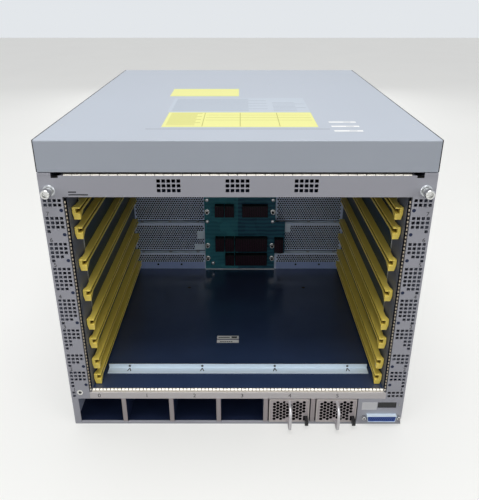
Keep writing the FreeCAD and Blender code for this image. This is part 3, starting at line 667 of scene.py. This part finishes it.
for side in ("left", "right"):
    for band, foot_margin in foot_margins.items():
        node = "air_panel_%s_%s" % (side, band)
        low, high = corners(node)
        columns = int((high[0] - low[0] - 2 * side_margin) / hole_pitch - 0.5)
        rows = int((high[2] - low[2] - foot_margin - head_margin) / hole_row)
        field_left = (low[0] + high[0] - (columns + 0.5) * hole_pitch) / 2
        field_right = field_left + (columns + 0.5) * hole_pitch
        field_foot = low[2] + foot_margin
        field_top = field_foot + rows * hole_row
        y, back = low[1], low[1] + panel_thick
        cells = copied(tile, panel_metal, columns=columns, rows=rows, shift=0.5,
                       start=(field_left + hole_pitch / 2, y, field_foot + hole_row / 2),
                       column_step=(hole_pitch, 0, 0), row_step=(0, 0, hole_row))
        ends = [copied(half_tile, panel_metal, columns=1, rows=count, column_step=(0, 0, 0),
                       start=(x, y, field_foot + hole_row / 2 + skip), row_step=(0, 0, 2 * hole_row))
                for x, skip, count in ((field_right - hole_pitch / 4, 0, (rows + 1) // 2),
                                       (field_left + hole_pitch / 4, hole_row, rows // 2))]
        border = blocks([((low[0], y, low[2]), (field_left, back, high[2])),
                         ((field_right, y, low[2]), (high[0], back, high[2])),
                         ((field_left, y, low[2]), (field_right, back, field_foot)),
                         ((field_left, y, field_top), (field_right, back, high[2])),
                         ((low[0], back, high[2] - panel_thick), (high[0], high[1], high[2]))])
        sheet = fit("punched_" + node, merged([cells, border] + ends), panel_metal, "bare_aluminium", node)
        # Painted light: the up-facing tops of the folded ledges take the paler aluminium, for the light
        # that falls on them from above.
        repaint(sheet, aluminium, lambda centre, normal: normal.z > 0.5 and centre.z > high[2] - 0.1)
        # Painted shade: the walls of the punched holes are dark, for the shade inside them.
        repaint(sheet, hollow_shade, lambda centre, normal: abs(normal.y) < 0.5
                and field_foot < centre.z < field_top and field_left < centre.x < field_right)
        shade_mats.append(((field_left, back + mat_gap, field_foot), (field_right, back + mat_thick, field_top)))
        if band == "low":
            # The low band's flange takes the painted reflection.
            repaint(sheet, flange_reflection,
                    lambda centre, normal: normal.y < -0.5 and centre.z < field_foot - 1)
            # Painted shade: the flange's two holes are dark discs.
            fit_copies("flange_holes_" + side, flange_hole, hollow_shade, "cage_steel", columns=2,
                       start=(flange_first[side], y, low[2] + flange_rise),
                       column_step=(flange_pitch, 0, 0))
        if band != "high":
            fit_copies("ledge_screws_%s_%s" % (side, band), facing(pan_head(3.0, 1.6), "X", -90), zinc,
                       "plated_steel", columns=3,
                       start=(low[0] + ledge_inset, (y + high[1]) / 2 + 0.5, high[2]),
                       column_step=((high[0] - low[0]) / 2 - ledge_inset, 0, 0))
# Partly painted shade: dark foam mats behind the punched fields, taken as the air filters, keep light from
# behind out of the holes so that they look shaded.
filter_foam = moulded("black_filter_foam", "#0d0e12", "#060708", 0.9, 1.1, 0.5, 0.1)
fit("air_filter_mats", blocks(shade_mats, 0.4), filter_foam, "rotor_plastic")


# Tabs and side flanges of the board's carrier.
# Aluminium sheet: unpunched tabs, folded flat on the middle panels and held by spot welds, and a
# flange behind each edge of the board that closes the step back to the high panels.

tab_face = corners("air_panel_left_middle")[0][1]
tabs = [((x[0], tab_face - 0.8, z[0]), (x[1], tab_face, z[1]))
        for x, z in (((-77, -62.4), (115, 131)), ((-82, -62.4), (93, 105)), ((85.4, 95.5), (129, 146.5)))]
fit("board_tabs", blocks(tabs, 0.2), aluminium, "bare_aluminium")
board_back, board_top = corners("midplane_board")[1][1:]
flange_back = corners("air_panel_left_high")[0][1] + panel_thick
flanges = [((x, board_back, board_foot), (x + panel_thick, flange_back, board_top))
           for x in (board_left, board_right - panel_thick)]
fit("carrier_flanges", blocks(flanges, 0.2), aluminium, "bare_aluminium")


# Card guides, eight on each side of the cage.
# Moulded in yellow nylon with a slot for the card's edge and a flared nose at the front.
# They clip through the side sheets; the surface is slightly waxy.

def waxy_nylon(name, colour, deep):
    """Unfilled nylon: waxy gloss, with a deeper tone inside slots and corners, where it shades itself."""
    corner_mm, grain_mm, grain_depth = 7.0, 1.0, 0.03
    finish, tree, shader, place = new_finish(name, {"Roughness": 0.3, "IOR": 1.53})
    share = add_node(tree, "ShaderNodeAmbientOcclusion", {"Distance": corner_mm * mm}, samples=8,
                     only_local=True)
    open_share = add_node(tree, "ShaderNodeMapRange",
                          {"Value": share.outputs["AO"], "From Min": 0.3, "From Max": 0.65})
    tone = add_node(tree, "ShaderNodeMix",
                    {0: open_share.outputs[0], 6: linear(deep), 7: linear(colour)}, data_type="RGBA")
    feed(tree, shader, {"Base Color": tone.outputs[2]})
    grained(tree, shader, place, grain_mm, grain_depth, strength=0.2, detail=3.0)
    return finish


nylon = waxy_nylon("yellow_nylon", "#ffe468", "#55380b")
for side in ("left", "right"):
    for number in range(1, 9):
        softened("card_guide_%s_%d" % (side, number), 0.4, nylon)


# Front ears with their square vents, plain slot numbers and the wrist-strap jack.
# Steel sheet, punched and powder coated with the body; the numbers are screen printed.
# The jack is a nickel-plated bush; tapped holes for the cards' screws line the inner edge.

def printed(words, height, x, z):
    """Plain printed figures on the front face, centred on a place."""
    rise = 0.03
    curve = bpy.data.curves.new("figures", "FONT")
    curve.body = words
    curve.size = height * 1.4 * mm
    curve.align_x = "CENTER"
    curve.align_y = "CENTER"
    curve.extrude = rise * mm
    mesh = plain_mesh(bpy.data.objects.new("figures", curve))
    return moved(facing(mesh, "X", 90), x, front - rise, z)


print_black = label_stock("screen_print", "#1b1c20", "#121316")
ear_inner = corners("ear_right")[0][0]
number_heights = {"7": 307.5, "6": 275.0, "5": 242.4, "4": 199.1, "3": 155.7, "2": 90.6, "1": 58.1}
number_size, number_inset = 5.4, 5.5
notch_heights, notch_inset = (312.0, 282.0, 248.5, 205.0, 162.0, 95.5, 66.0), 3.2
notch = turned([(2.2, -0.3, 0), (2.2, 0.08, 0), (1.8, 0.12, 0), (0.4, 0.05, 0)])
for side, sign in (("left", -1), ("right", 1)):
    softened("ear_" + side, 0.18, chassis_grey)
    figures = [printed(words, number_size, sign * (half - number_inset), z)
               for words, z in number_heights.items()]
    fit("slot_numbers_" + side, merged(figures), print_black, "chassis_paint")
    # Painted shade: the tapped holes for the cards' screws are navy discs.
    places = [(sign * (ear_inner + notch_inset), front, z) for z in notch_heights]
    fit_copies("card_screw_holes_" + side, notch, navy_painted_shade, "plated_steel", places)
softened("ground_jack", 0.25, nickel)


# Spring-finger strips of the card opening, along its sill and its jambs.
# Thin beryllium copper, bright tinned, rolled into rows of bowed fingers that touch the cards.
# The strips are clipped over the edges of the opening; the dark strip behind and between the fingers is
# painted shade for the gap beneath them.

def bowed_finger(length, chord, rise, thick=0.25, steps=8):
    """One finger along X: an arch over the chord along Z that rises to the front."""
    shape = bmesh.new()
    rows = []
    for x in (0, length):
        row = []
        for inset in (0, thick):
            for k in range(steps + 1):
                turn = math.pi * k / steps
                row.append(shape.verts.new((x * mm, -(rise - inset) * math.sin(turn) * mm,
                                            (chord / 2 - inset) * math.cos(turn) * mm)))
        rows.append(row)
    count = steps + 1
    for k in range(steps):
        for a, b in ((k, k + 1), (count + k + 1, count + k)):
            shape.faces.new((rows[0][a], rows[1][a], rows[1][b], rows[0][b]))
        for row in rows:
            shape.faces.new((row[k], row[k + 1], row[count + k + 1], row[count + k]))
    for a in (0, steps):
        shape.faces.new((rows[0][a], rows[0][a + count], rows[1][a + count], rows[1][a]))
    bmesh.ops.recalc_face_normals(shape, faces=shape.faces)
    return as_mesh(shape, "finger", sharp=40)


def both_sides(x, y, z):
    """Two boxes, left and right at the same distances from the middle, from their spans on each axis."""
    spans = [sorted(sign * value for value in x) for sign in (-1, 1)]
    return [((low, y[0], z[0]), (high, y[1], z[1])) for low, high in spans]


spring = plating("tinned_spring_strip", "#eee9df", "#d9d2c4", 0.28, 1.2, 0, 0.8)
sill_back = corners("finger_strips")[1][1]
header_top = corners("bay_header")[1][2]
bar_z = corners("top_bar")[0][2]
finger_pitch = 4.84
strip_half = ear_inner - 3
count = int(2 * strip_half / finger_pitch)
sill = copied(bowed_finger(3.8, 5.0, 2.8), spring, columns=count,
              start=(-count * finger_pitch / 2 + 0.5, sill_back, (header_top + floor_z) / 2),
              column_step=(finger_pitch, 0, 0))
jamb_pitch, shadow_line, sill_rise = 4.8, 1.4, 6.0
jamb_count = int((bar_z - header_top - sill_rise) / jamb_pitch)
jambs = []
for sign in (-1, 1):
    finger = facing(facing(bowed_finger(2.6, 1.3, 1.4), "Y", -90), "Z", -90 * sign)
    jambs.append(copied(finger, spring, columns=jamb_count, column_step=(0, 0, jamb_pitch),
                        start=(sign * (ear_inner - shadow_line), front + 0.8, header_top + 3.5)))
rail_deep, rail_high = 1.8, 1.6
foot_rail = blocks([((-strip_half, sill_back - rail_deep, header_top),
                     (strip_half, sill_back, header_top + rail_high))])
strips = fit("spring_fingers", merged([sill, foot_rail] + jambs), spring, "finger_metal", "finger_strips")
# Painted shade: the jamb fingers take a darker copy of the tinned strip, for the shade along the sides of
# the opening.
shaded_spring = plating("shaded_spring_strip", "#c2b6a4", "#a89c8a", 0.34, 1.2, 2, 0.6)
repaint(strips, shaded_spring, lambda centre, normal: centre.z > header_top + sill_rise)
# Painted shade: dark strips behind the jamb and sill fingers stand in for the shadow gap along the
# opening's edge.
gap_shades = both_sides((ear_inner - shadow_line, ear_inner), (front + 0.1, front + 1.6),
                     (header_top + 2, bar_z))
gap_shades.append(((-strip_half, sill_back - 0.4, header_top + 0.2), (strip_half, sill_back, floor_z - 0.1)))
fit("finger_backing", blocks(gap_shades, 0.1), black_moulding, "finger_metal")
# Painted shade and light: thin sheets close the open recess behind the opening's side edges, coated a
# shaded grey in place of the dimly lit plenum seen there.
recess_shade_paint = powder_coat("shaded_return_coat", "#6a6f7d", "#5f6471")
wall_front = corners("cage_side_left")[0][1]
recess_sheets = both_sides((strip_half - 1.2, strip_half - 0.8), (front + 3, wall_front - 0.5),
                     (floor_z, bar_z - 0.5))
fit("opening_returns", blocks(recess_sheets, 0.1), recess_shade_paint, "chassis_paint")


# Top bar across the opening, its contact strip and the captive thumbscrews.
# Steel sheet bent back along its top; three groups of square vents; coated with the body.
# The thumbscrews are turned steel, nickel plated, with a knurled head and a socket.

softened("top_bar", 0.3, chassis_grey)
bar_top = corners("top_bar")[1][2]
lid_pitch = 10.2
lid_count = int(2 * (ear_inner - 2) / lid_pitch)
fit_copies("lid_contact_strip", facing(bowed_finger(9.4, 7.0, 2.0), "X", -90), spring, "finger_metal",
           columns=lid_count, start=(-lid_count * lid_pitch / 2 + 0.4, front + 4.2, bar_top),
           column_step=(lid_pitch, 0, 0))
cover_foot = corners("top_cover")[0][2]
shadow_inner, lug_inner = ear_inner + 1.8, ear_inner + 9.8
lugs = both_sides((lug_inner, half), (front, front + skin), (bar_top - 0.5, cover_foot - 0.8))
fit("bar_end_lugs", blocks(lugs, 0.3), chassis_grey, "chassis_paint")
# Painted shadow: dark blocks at the ends of the bar stand in for the shadow of the gap under the cover's
# corners.
shadow_blocks = both_sides((shadow_inner, lug_inner), (front - 0.06, front + skin),
                     (bar_top - 2.5, bar_top + 0.06))
fit("bar_corner_reliefs", blocks(shadow_blocks, 0.2), hollow_shade, "chassis_paint")
line_left, line_high = -190.0, 1.5
bar_lines = [((line_left, front - 0.05, bar_z + z), (line_left + wide, front + 0.2, bar_z + z + line_high))
             for z, wide in ((2.0, 22), (5.2, 9))]
fit("bar_print", blocks(bar_lines), print_black, "chassis_paint")
knob = [(2.4, -5.8, 0), (2.4, 0.0, 0), (4.4, 0.3, 0), (4.4, 5.5, 0), (5.2, 6.2, 0), (5.5, 6.8, 0.02),
        (5.5, 13.6, 0.02), (5.2, 14.8, 0), (4.6, 15.3, 0), (3.3, 15.3, 0), (3.0, 14.6, 0), (2.6, 11.6, 0),
        (0.6, 11.4, 0)]
collar = [(6.8, -0.2, 0), (6.8, 0.7, 0), (6.2, 1.2, 0), (4.7, 1.2, 0), (4.6, 0.1, 0), (3.0, 0.0, 0)]
for side in ("left", "right"):
    node = "thumbscrew_" + side
    low, high = corners(node)
    seat = ((low[0] + high[0]) / 2, front, (low[2] + high[2]) / 2)
    head = moved(turned(knob, steps=48, lobes=24), *seat)
    ring = moved(turned(collar, steps=32), *seat)
    fit("knurled_" + node, head, nickel, slot_of[node], node, body=node)
    fit("thumbscrew_collar_" + side, ring, zinc, "plated_steel")


# Bay numbers on the header.
# Plain screen-printed figures over each power bay, counted from the left.

figure_size, figure_drop = 6.0, 5.0
figures = [printed(str(i), figure_size, first_bay + i * bay_pitch, header_top - figure_drop)
           for i in range(bays)]
fit("bay_numbers", merged(figures), print_black, "chassis_paint")


# Power modules in the two right-hand bays.
# Folded steel cases with a warm grey plating, a honeycomb face and a raised rim round it.
# A bent steel strap is the handle; the release latch beside it is a black moulding.

def swept(path, across, thick):
    """Flat strap of rounded section along a path in the plane of Y and Z, centred on X of zero."""
    shape = bmesh.new()
    w, t, r = across / 2, thick / 2, thick * 0.3
    section = [(w - r, -t), (w, -t + r), (w, t - r), (w - r, t), (r - w, t), (-w, t - r), (-w, r - t),
               (r - w, -t)]
    loops = []
    for k, (y, z) in enumerate(path):
        ahead = Vector(path[min(k + 1, len(path) - 1)]) - Vector(path[max(k - 1, 0)])
        normal = Vector((-ahead.y, ahead.x)).normalized()
        loops.append([shape.verts.new((x * mm, (y + n * normal.x) * mm, (z + n * normal.y) * mm))
                      for x, n in section])
    for near, far in zip(loops, loops[1:]):
        for k in range(len(section)):
            shape.faces.new((near[k - 1], near[k], far[k], far[k - 1]))
    shape.faces.new(loops[0])
    shape.faces.new(loops[-1])
    bmesh.ops.recalc_face_normals(shape, faces=shape.faces)
    return as_mesh(shape, "strap", sharp=50)


def rim(low, high, place, width, rise, bend, steps=6):
    """Raised rim round a face that looks to the front, with its two upper corners rounded."""
    shape = bmesh.new()
    loops = []
    for y, inset in ((0.3, 0), (-rise, 0.15), (-rise, width - 0.15), (0.3, width)):
        radius = bend - inset
        left, right, foot, top = low[0] + inset, high[0] - inset, low[1] + inset, high[1] - inset
        points = [(left, foot), (right, foot)]
        for centre, start in ((right - radius, 0), (left + radius, math.pi / 2)):
            points += [(centre + radius * math.cos(start + math.pi / 2 * k / steps),
                        top - radius + radius * math.sin(start + math.pi / 2 * k / steps))
                       for k in range(steps + 1)]
        loops.append([shape.verts.new((x * mm, (place + y) * mm, z * mm)) for x, z in points])
    for k in range(len(loops)):
        for i in range(len(loops[0])):
            shape.faces.new((loops[k - 1][i - 1], loops[k - 1][i], loops[k][i], loops[k][i - 1]))
    bmesh.ops.recalc_face_normals(shape, faces=shape.faces)
    return as_mesh(shape, "rim")


module_steel = plating("warm_plated_steel", "#b8b0b2", "#a8a0a2", 0.45, 1.5, 2, 0.3)
# Painted highlight: the raised rim is a lighter copy of the case's plating, for the light its edges catch.
rim_highlight_steel = plating("bright_rim_highlight_steel", "#cbc5c1", "#bab4b0", 0.4, 1.5, 2, 0.3)
strap_steel = plating("plated_strap_steel", "#d6d4d6", "#c0bec2", 0.3, 1.0, 2, 0.5)
latch_black = moulded("gloss_black_latch", "#1b1c20", "#101114", 0.2, 1.4)
latch_rib = blocks([((-2.4, -0.25, -0.35), (2.4, 0.25, 0.35))], 0.1)
turns = [math.pi / 2 * k / 10 for k in range(11)]
upper_bend, lower_bend, strap_wide, strap_thick = 11.0, 6.0, 3.6, 2.0
case_wall = 0.3
for side in ("left", "right"):
    body = "power_" + side
    low, high = corners(body + "_case")
    middle = (low[0] + high[0]) / 2
    case = softened(body + "_case", 0.18, module_steel)
    # Painted shade: the inside of each case is dark, as seen through the honeycomb face.
    repaint(case, hollow_shade, lambda centre, normal: centre.y > front + case_wall
            and low[0] + case_wall < centre.x < high[0] - case_wall
            and low[2] + case_wall < centre.z < high[2] - case_wall)
    softened(body + "_latch", 0.5, latch_black)
    edge = rim((low[0] + 0.1, low[2] + 0.1), (high[0] - 0.1, high[2] - 0.1), front, 1.5, 0.7, 3.2)
    fit(body + "_rim", edge, rim_highlight_steel, "module_steel", body=body)
    (_, out, foot), (_, _, top) = corners(body + "_handle")
    bow, high_end, low_end = out + strap_thick / 2, top - strap_thick / 2, foot + strap_thick / 2
    path = [(front + 0.2, high_end)]
    path += [(bow + upper_bend * (1 - math.sin(t)), high_end - upper_bend * (1 - math.cos(t)))
             for t in turns]
    path += [(bow + lower_bend * (1 - math.cos(t)), low_end + lower_bend * (1 - math.sin(t)))
             for t in turns]
    path.append((front + 0.2, low_end))
    strap = moved(swept(path, strap_wide, strap_thick), middle, 0, 0)
    fit(body + "_strap", strap, strap_steel, "plated_steel", body + "_handle", body=body)
    feet = [((middle - 5.5, front - 0.6, top - 4.2), (middle + 5.5, front + 0.1, top + 1.2)),
            ((middle - 4.5, front - 0.6, foot - 0.6), (middle + 4.5, front + 0.1, foot + 3.6))]
    fit(body + "_strap_feet", blocks(feet, 0.25), module_steel, "plated_steel", body=body)
    latch_low, latch_high = corners(body + "_latch")
    fit_copies(body + "_latch_ribs", latch_rib, latch_black, "latch_plastic", body=body + "_latch",
               columns=5, column_step=(0, 0, 1.3),
               start=((latch_low[0] + latch_high[0]) / 2, latch_low[1], latch_low[2] + 3.2))


# Service panel at the lower right with its 25-way socket.
# Coated steel plate with a bare bright field and a dark window for status lights.
# The socket is a tinned steel shell round a blue insert with 25 contacts, held by two jack screws.

softened("service_panel", 0.25, chassis_grey)
softened("alarm_port_shell", 0.2, aluminium)
socket_blue = moulded("blue_thermoplastic", "#2f55ac", "#25468f", 0.4, 0.8)
softened("alarm_port_insert", 0.2, socket_blue)
softened("jack_screws", 0.35, nickel)
socket_low, socket_high = corners("alarm_port_insert")
socket_x, socket_z = (socket_low[0] + socket_high[0]) / 2, (socket_low[2] + socket_high[2]) / 2
contact_pitch = 2.77
# Painted shade: the insert's contact holes and the jack screws' bores are dark dimples.
contact = turned([(0.62, -0.3, 0), (0.62, 0.05, 0), (0.5, 0.08, 0), (0.1, 0.03, 0)], steps=10)
contacts = [copied(contact, hollow_shade, columns=count, column_step=(contact_pitch, 0, 0),
                   start=(socket_x - (count - 1) / 2 * contact_pitch, socket_low[1], socket_z + rise))
            for count, rise in ((13, 1.42), (12, -1.42))]
fit("socket_contacts", merged(contacts), hollow_shade, "socket_plastic")
jack_low, jack_high = corners("jack_screws")
jack_bores = [(x, jack_low[1], socket_z) for x in (jack_low[0] + 2.6, jack_high[0] - 2.6)]
bore = turned([(1.35, -0.3, 0), (1.35, 0.05, 0), (1.1, 0.1, 0), (0.2, 0.03, 0)], steps=14)
fit_copies("jack_screw_bores", bore, hollow_shade, "plated_steel", jack_bores)
plate_white = label_stock("bare_plate_film", "#d9dadc", "#cfd0d3")
fit("bare_plate", blocks([((167, front - 0.25, 24.5), (187.2, front + 0.1, 37))], 0.12), plate_white,
    "chassis_paint")
window_glass, glass_tree, glass_shader, glass_place = new_finish(
    "smoked_window", {"Roughness": 0.12, "IOR": 1.49})
# Painted reflections: a faint grid of lighter cells in the dark pane stands in for glints on the smoked
# window.
glint_cell_mm = 4.0
cells = add_node(glass_tree, "ShaderNodeTexVoronoi",
                 {"Vector": glass_place, "Scale": 1 / (glint_cell_mm * mm), "Randomness": 0.3},
                 distance="CHEBYCHEV")
glint_tone = add_node(glass_tree, "ShaderNodeMix",
               {0: cells.outputs["Distance"], 6: linear("#08090c"), 7: linear("#1b1f26")},
               data_type="RGBA")
feed(glass_tree, glass_shader, {"Base Color": glint_tone.outputs[2]})
window_mid = (half - 21.5, 32.0)
fit("status_window",
    blocks([((window_mid[0] - 13, front + 1.3, window_mid[1] - 5.5),
             (window_mid[0] + 13, front + 2.3, window_mid[1] + 5.5))], 0.2),
    window_glass, "chassis_paint")
lamp_clear = moulded("milky_light_guide", "#cfd6c8", "#bcc4b6", 0.2, 1.0)
lamp = turned([(0.9, -1.2, 0), (0.9, 0.2, 0), (0.6, 0.6, 0), (0.2, 0.7, 0)], steps=14)
fit("status_lamp", moved(lamp, half - 5, front, window_mid[1]), lamp_clear, "chassis_paint")


# Top cover with its screws.
# One folded steel lid with a skirt all round, coated a shade paler than the body.
# Countersunk screws along the sides hold it to the walls.

cover_paint = powder_coat("pale_powder_coat", "#b2b9c4", "#a9b0bb")
softened("top_cover", 0.3, cover_paint)
cover_top = corners("top_cover")[1][2]
screw_inset, screw_rise, screw_pitch = 60.0, 14.0, 145.0
cover_screw = turned([(3.4, -0.2, 0), (3.4, 0.1, 0), (3.0, 0.35, 0), (1.3, 0.35, 0.5), (0.8, -0.1, 0.4)])
for side, sign in (("left", -1), ("right", 1)):
    fit_copies("cover_screws_" + side, facing(cover_screw.copy(), "Z", sign * 90), zinc, "plated_steel",
               columns=4, start=(sign * half, front + screw_inset, cover_foot + screw_rise),
               column_step=(0, screw_pitch, 0))
# Painted shade: thin dark strips at the cover's front corners and along the top's side edges stand in for
# the shade and dark reflections at its rounded bends.
edge_shade_film = dark_film("painted_edge_shade", "#24252d", "#1b1c22", 0.6)
edge_shade_span = (half - 1.1, half + 0.05)
edge_shades = both_sides(edge_shade_span, (front - 0.05, front + 0.8), (cover_foot + 0.3, cover_top - 0.2))
edge_shades += both_sides(edge_shade_span, (front + 1, rear - 1), (cover_top - 0.3, cover_top + 0.04))
fit("cover_seams", blocks(edge_shades), edge_shade_film, "cover_paint")
stud = facing(turned([(1.7, -0.1, 0), (1.7, 0.1, 0), (1.2, 0.3, 0), (0.3, 0.3, 0)], steps=12), "X", -90)
stud_places = [(x, front + 375, cover_top) for x in (-160, -105, -50, 53, 108, 158)]
stud_places += [(x, front + 72, cover_top) for x in (-209.5, 209.5)]
fit_copies("cover_studs", stud, zinc, "plated_steel", stud_places)


# Blank labels on the cover.
# Paper and film labels stuck flat on the lid: two yellow fields, one grey field, three white strips.
# They carry only plain ruled lines.

label_z = cover_top
label_thick, line_thick = 0.12, 0.05


def sheet_label(name, x, y, finish, lines, colour):
    """Label on the lid, placed from the middle and from the front edge, with ruled lines."""
    top = label_z + label_thick
    fit(name, blocks([((x[0], front + y[0], label_z), (x[1], front + y[1], top))]), finish, "cover_paint")
    if lines:
        fit(name + "_lines", blocks([((a[0], front + a[1], top), (b[0], front + b[1], top + line_thick))
                                     for a, b in lines]), colour, "cover_paint")


def ruled(x, y, pitch, thick, reach=1.0):
    """Level lines across a field, from front to back."""
    lines = []
    for i in range(1, int((y[1] - y[0]) / pitch)):
        wide = (x[1] - x[0]) * (reach if i % 3 else 1.0)
        start = y[0] + i * pitch
        lines.append(((x[0], start), (x[0] + wide, start + thick)))
    return lines


yellow = label_stock("yellow_paper", "#e4e395", "#dddc8b")
grey_film = label_stock("grey_film", "#bcc4ce", "#b3bbc5")
line_olive = label_stock("ruled_print", "#b3b05e", "#a8a554")
line_grey = label_stock("grey_print", "#8d95a3", "#838b98")
large_x, large_y = (-90, 95), (62, 146.5)
columns_x = [large_x[0] + (large_x[1] - large_x[0]) * share for share in (0.255, 0.5, 0.755)]
dividers_x = [((x, large_y[0] + 3), (x + 0.9, large_y[1] - 3)) for x in columns_x]
sheet_label("label_large", large_x, large_y, yellow,
            ruled((-86, columns_x[0] - 3), (66, 145), 6.0, 1.6, 0.85)
            + ruled((columns_x[0] + 3, 92), (84, 145), 15.0, 1.0) + dividers_x, line_olive)
sheet_label("label_small", (-102.5, 1), (266, 331), yellow, [], line_olive)
sheet_label("label_grey", (-93, 95), (147.5, 251), grey_film,
            ruled((-88, 40), (150, 248), 6.5, 1.4, 0.8) + ruled((48, 92), (150, 230), 9.0, 1.4, 0.7),
            line_grey)
for number, y in enumerate((39.6, 62.8, 85.7)):
    sheet_label("label_strip_%d" % number, (110.7, 143.5), (y, y + 6), tag_paper,
                [((128, y + 2.2), (137, y + 3.6))], line_grey)
line_dark = label_stock("border_print", "#6b717d", "#616772")
fit("label_border", blocks([((-107, front + 51.4, label_z), (107, front + 52.6, label_z + line_thick))]),
    line_dark, "cover_paint")


# Pale floor, soft studio light and the camera.
# Soft boxes above and before the object light its top and its inside; weaker ones light sides and rear.
# Floor and sky look paler to the camera and in reflections than the light they give.

def seen_directly(tree):
    """Output that is 1 for camera, glossy and transmission rays, and 0 for rays of soft light."""
    rays = add_node(tree, "ShaderNodeLightPath").outputs
    seen = add_node(tree, "ShaderNodeMath", {0: rays["Is Camera Ray"], 1: rays["Is Glossy Ray"]},
                    operation="MAXIMUM")
    return add_node(tree, "ShaderNodeMath", {0: seen.outputs[0], 1: rays["Is Transmission Ray"]},
                    operation="MAXIMUM").outputs[0]


floor_mesh = bpy.data.meshes.new("studio_floor")
reach = 6.0
floor_corners = [(-reach, -reach, 0), (reach, -reach, 0), (reach, reach, 0), (-reach, reach, 0)]
floor_mesh.from_pydata(floor_corners, [], [(0, 1, 2, 3)])
floor_finish, floor_tree, floor_shader, floor_place = new_finish("pale_floor", {"Roughness": 0.6})
mottle = add_node(floor_tree, "ShaderNodeTexNoise", {"Vector": floor_place, "Scale": 3.0, "Detail": 3.0})
pale = add_node(floor_tree, "ShaderNodeMix",
                {0: mottle.outputs[0], 6: linear("#e2e2e0"), 7: linear("#e8e8e6")}, data_type="RGBA")
direct = seen_directly(floor_tree)
shown = add_node(floor_tree, "ShaderNodeMix",
                 {0: direct, 6: linear("#5e5954"), 7: linear("#a4a4a2")}, data_type="RGBA")
own_glow = add_node(floor_tree, "ShaderNodeMapRange", {"Value": direct, "To Min": 0.0, "To Max": 0.64})
feed(floor_tree, floor_shader, {"Base Color": shown.outputs[2], "Emission Color": pale.outputs[2],
                                "Emission Strength": own_glow.outputs[0]})
floor_mesh.materials.append(floor_finish)
floor = bpy.data.objects.new("studio_floor", floor_mesh)
bpy.context.collection.objects.link(floor)

scene = bpy.context.scene
scene.view_settings.view_transform = "Standard"
world = bpy.data.worlds.new("studio")
world.use_nodes = True
sky_tree = world.node_tree
sky = sky_tree.nodes["Background"]
sky.inputs["Color"].default_value = linear("#eef2f6")
fill_strength, seen_strength = 0.07, 0.9
glow = add_node(sky_tree, "ShaderNodeMapRange",
                {"Value": seen_directly(sky_tree), "To Min": fill_strength, "To Max": seen_strength})
sky_tree.links.new(glow.outputs[0], sky.inputs["Strength"])
scene.world = world


def place_lamp(name, kind, place, aim, mirrored=True, **settings):
    """Lamp at a place, turned towards a point, that glossy faces mirror or not."""
    light = bpy.data.lights.new(name, kind)
    for key, value in settings.items():
        setattr(light, key, value)
    lamp = bpy.data.objects.new(name, light)
    lamp.location = place
    lamp.visible_glossy = mirrored
    lamp.rotation_euler = (Vector(aim) - Vector(place)).to_track_quat("-Z", "Y").to_euler()
    bpy.context.collection.objects.link(lamp)


place_lamp("overhead_box", "AREA", (0, -0.4, 2.55), (0, -0.4, 0.4), energy=55, size=1.9)
place_lamp("high_box", "AREA", (0, -1.7, 2.0), (0, -0.2, 0.2), energy=4, size=1.1)
place_lamp("front_box", "AREA", (0, -2.4, 1.05), (0, -0.1, 0.2), energy=9, shape="RECTANGLE", size=2.2,
           size_y=1.6)
place_lamp("rear_box", "AREA", (0, 2.4, 0.7), (0, 0.3, 0.2), mirrored=False, energy=17, size=1.0)
for side in (-1, 1):
    place_lamp("side_box", "AREA", (side * 1.5, -1.6, 0.8), (0, -0.2, 0.2), energy=6.6, size=0.8)
    place_lamp("flank_box", "AREA", (side * 2.3, 0.5, 0.7), (0, 0.1, 0.2), mirrored=False, energy=10,
               size=0.9)

camera = bpy.data.cameras.new("camera")
camera.sensor_width = 36.0
camera.lens = 40.85
viewer = bpy.data.objects.new("camera", camera)
viewer.location = (0.00305, -0.8813, 0.5442)
viewer.rotation_euler = (math.radians(64.97), 0, math.radians(0.08))
bpy.context.collection.objects.link(viewer)
scene.camera = viewer
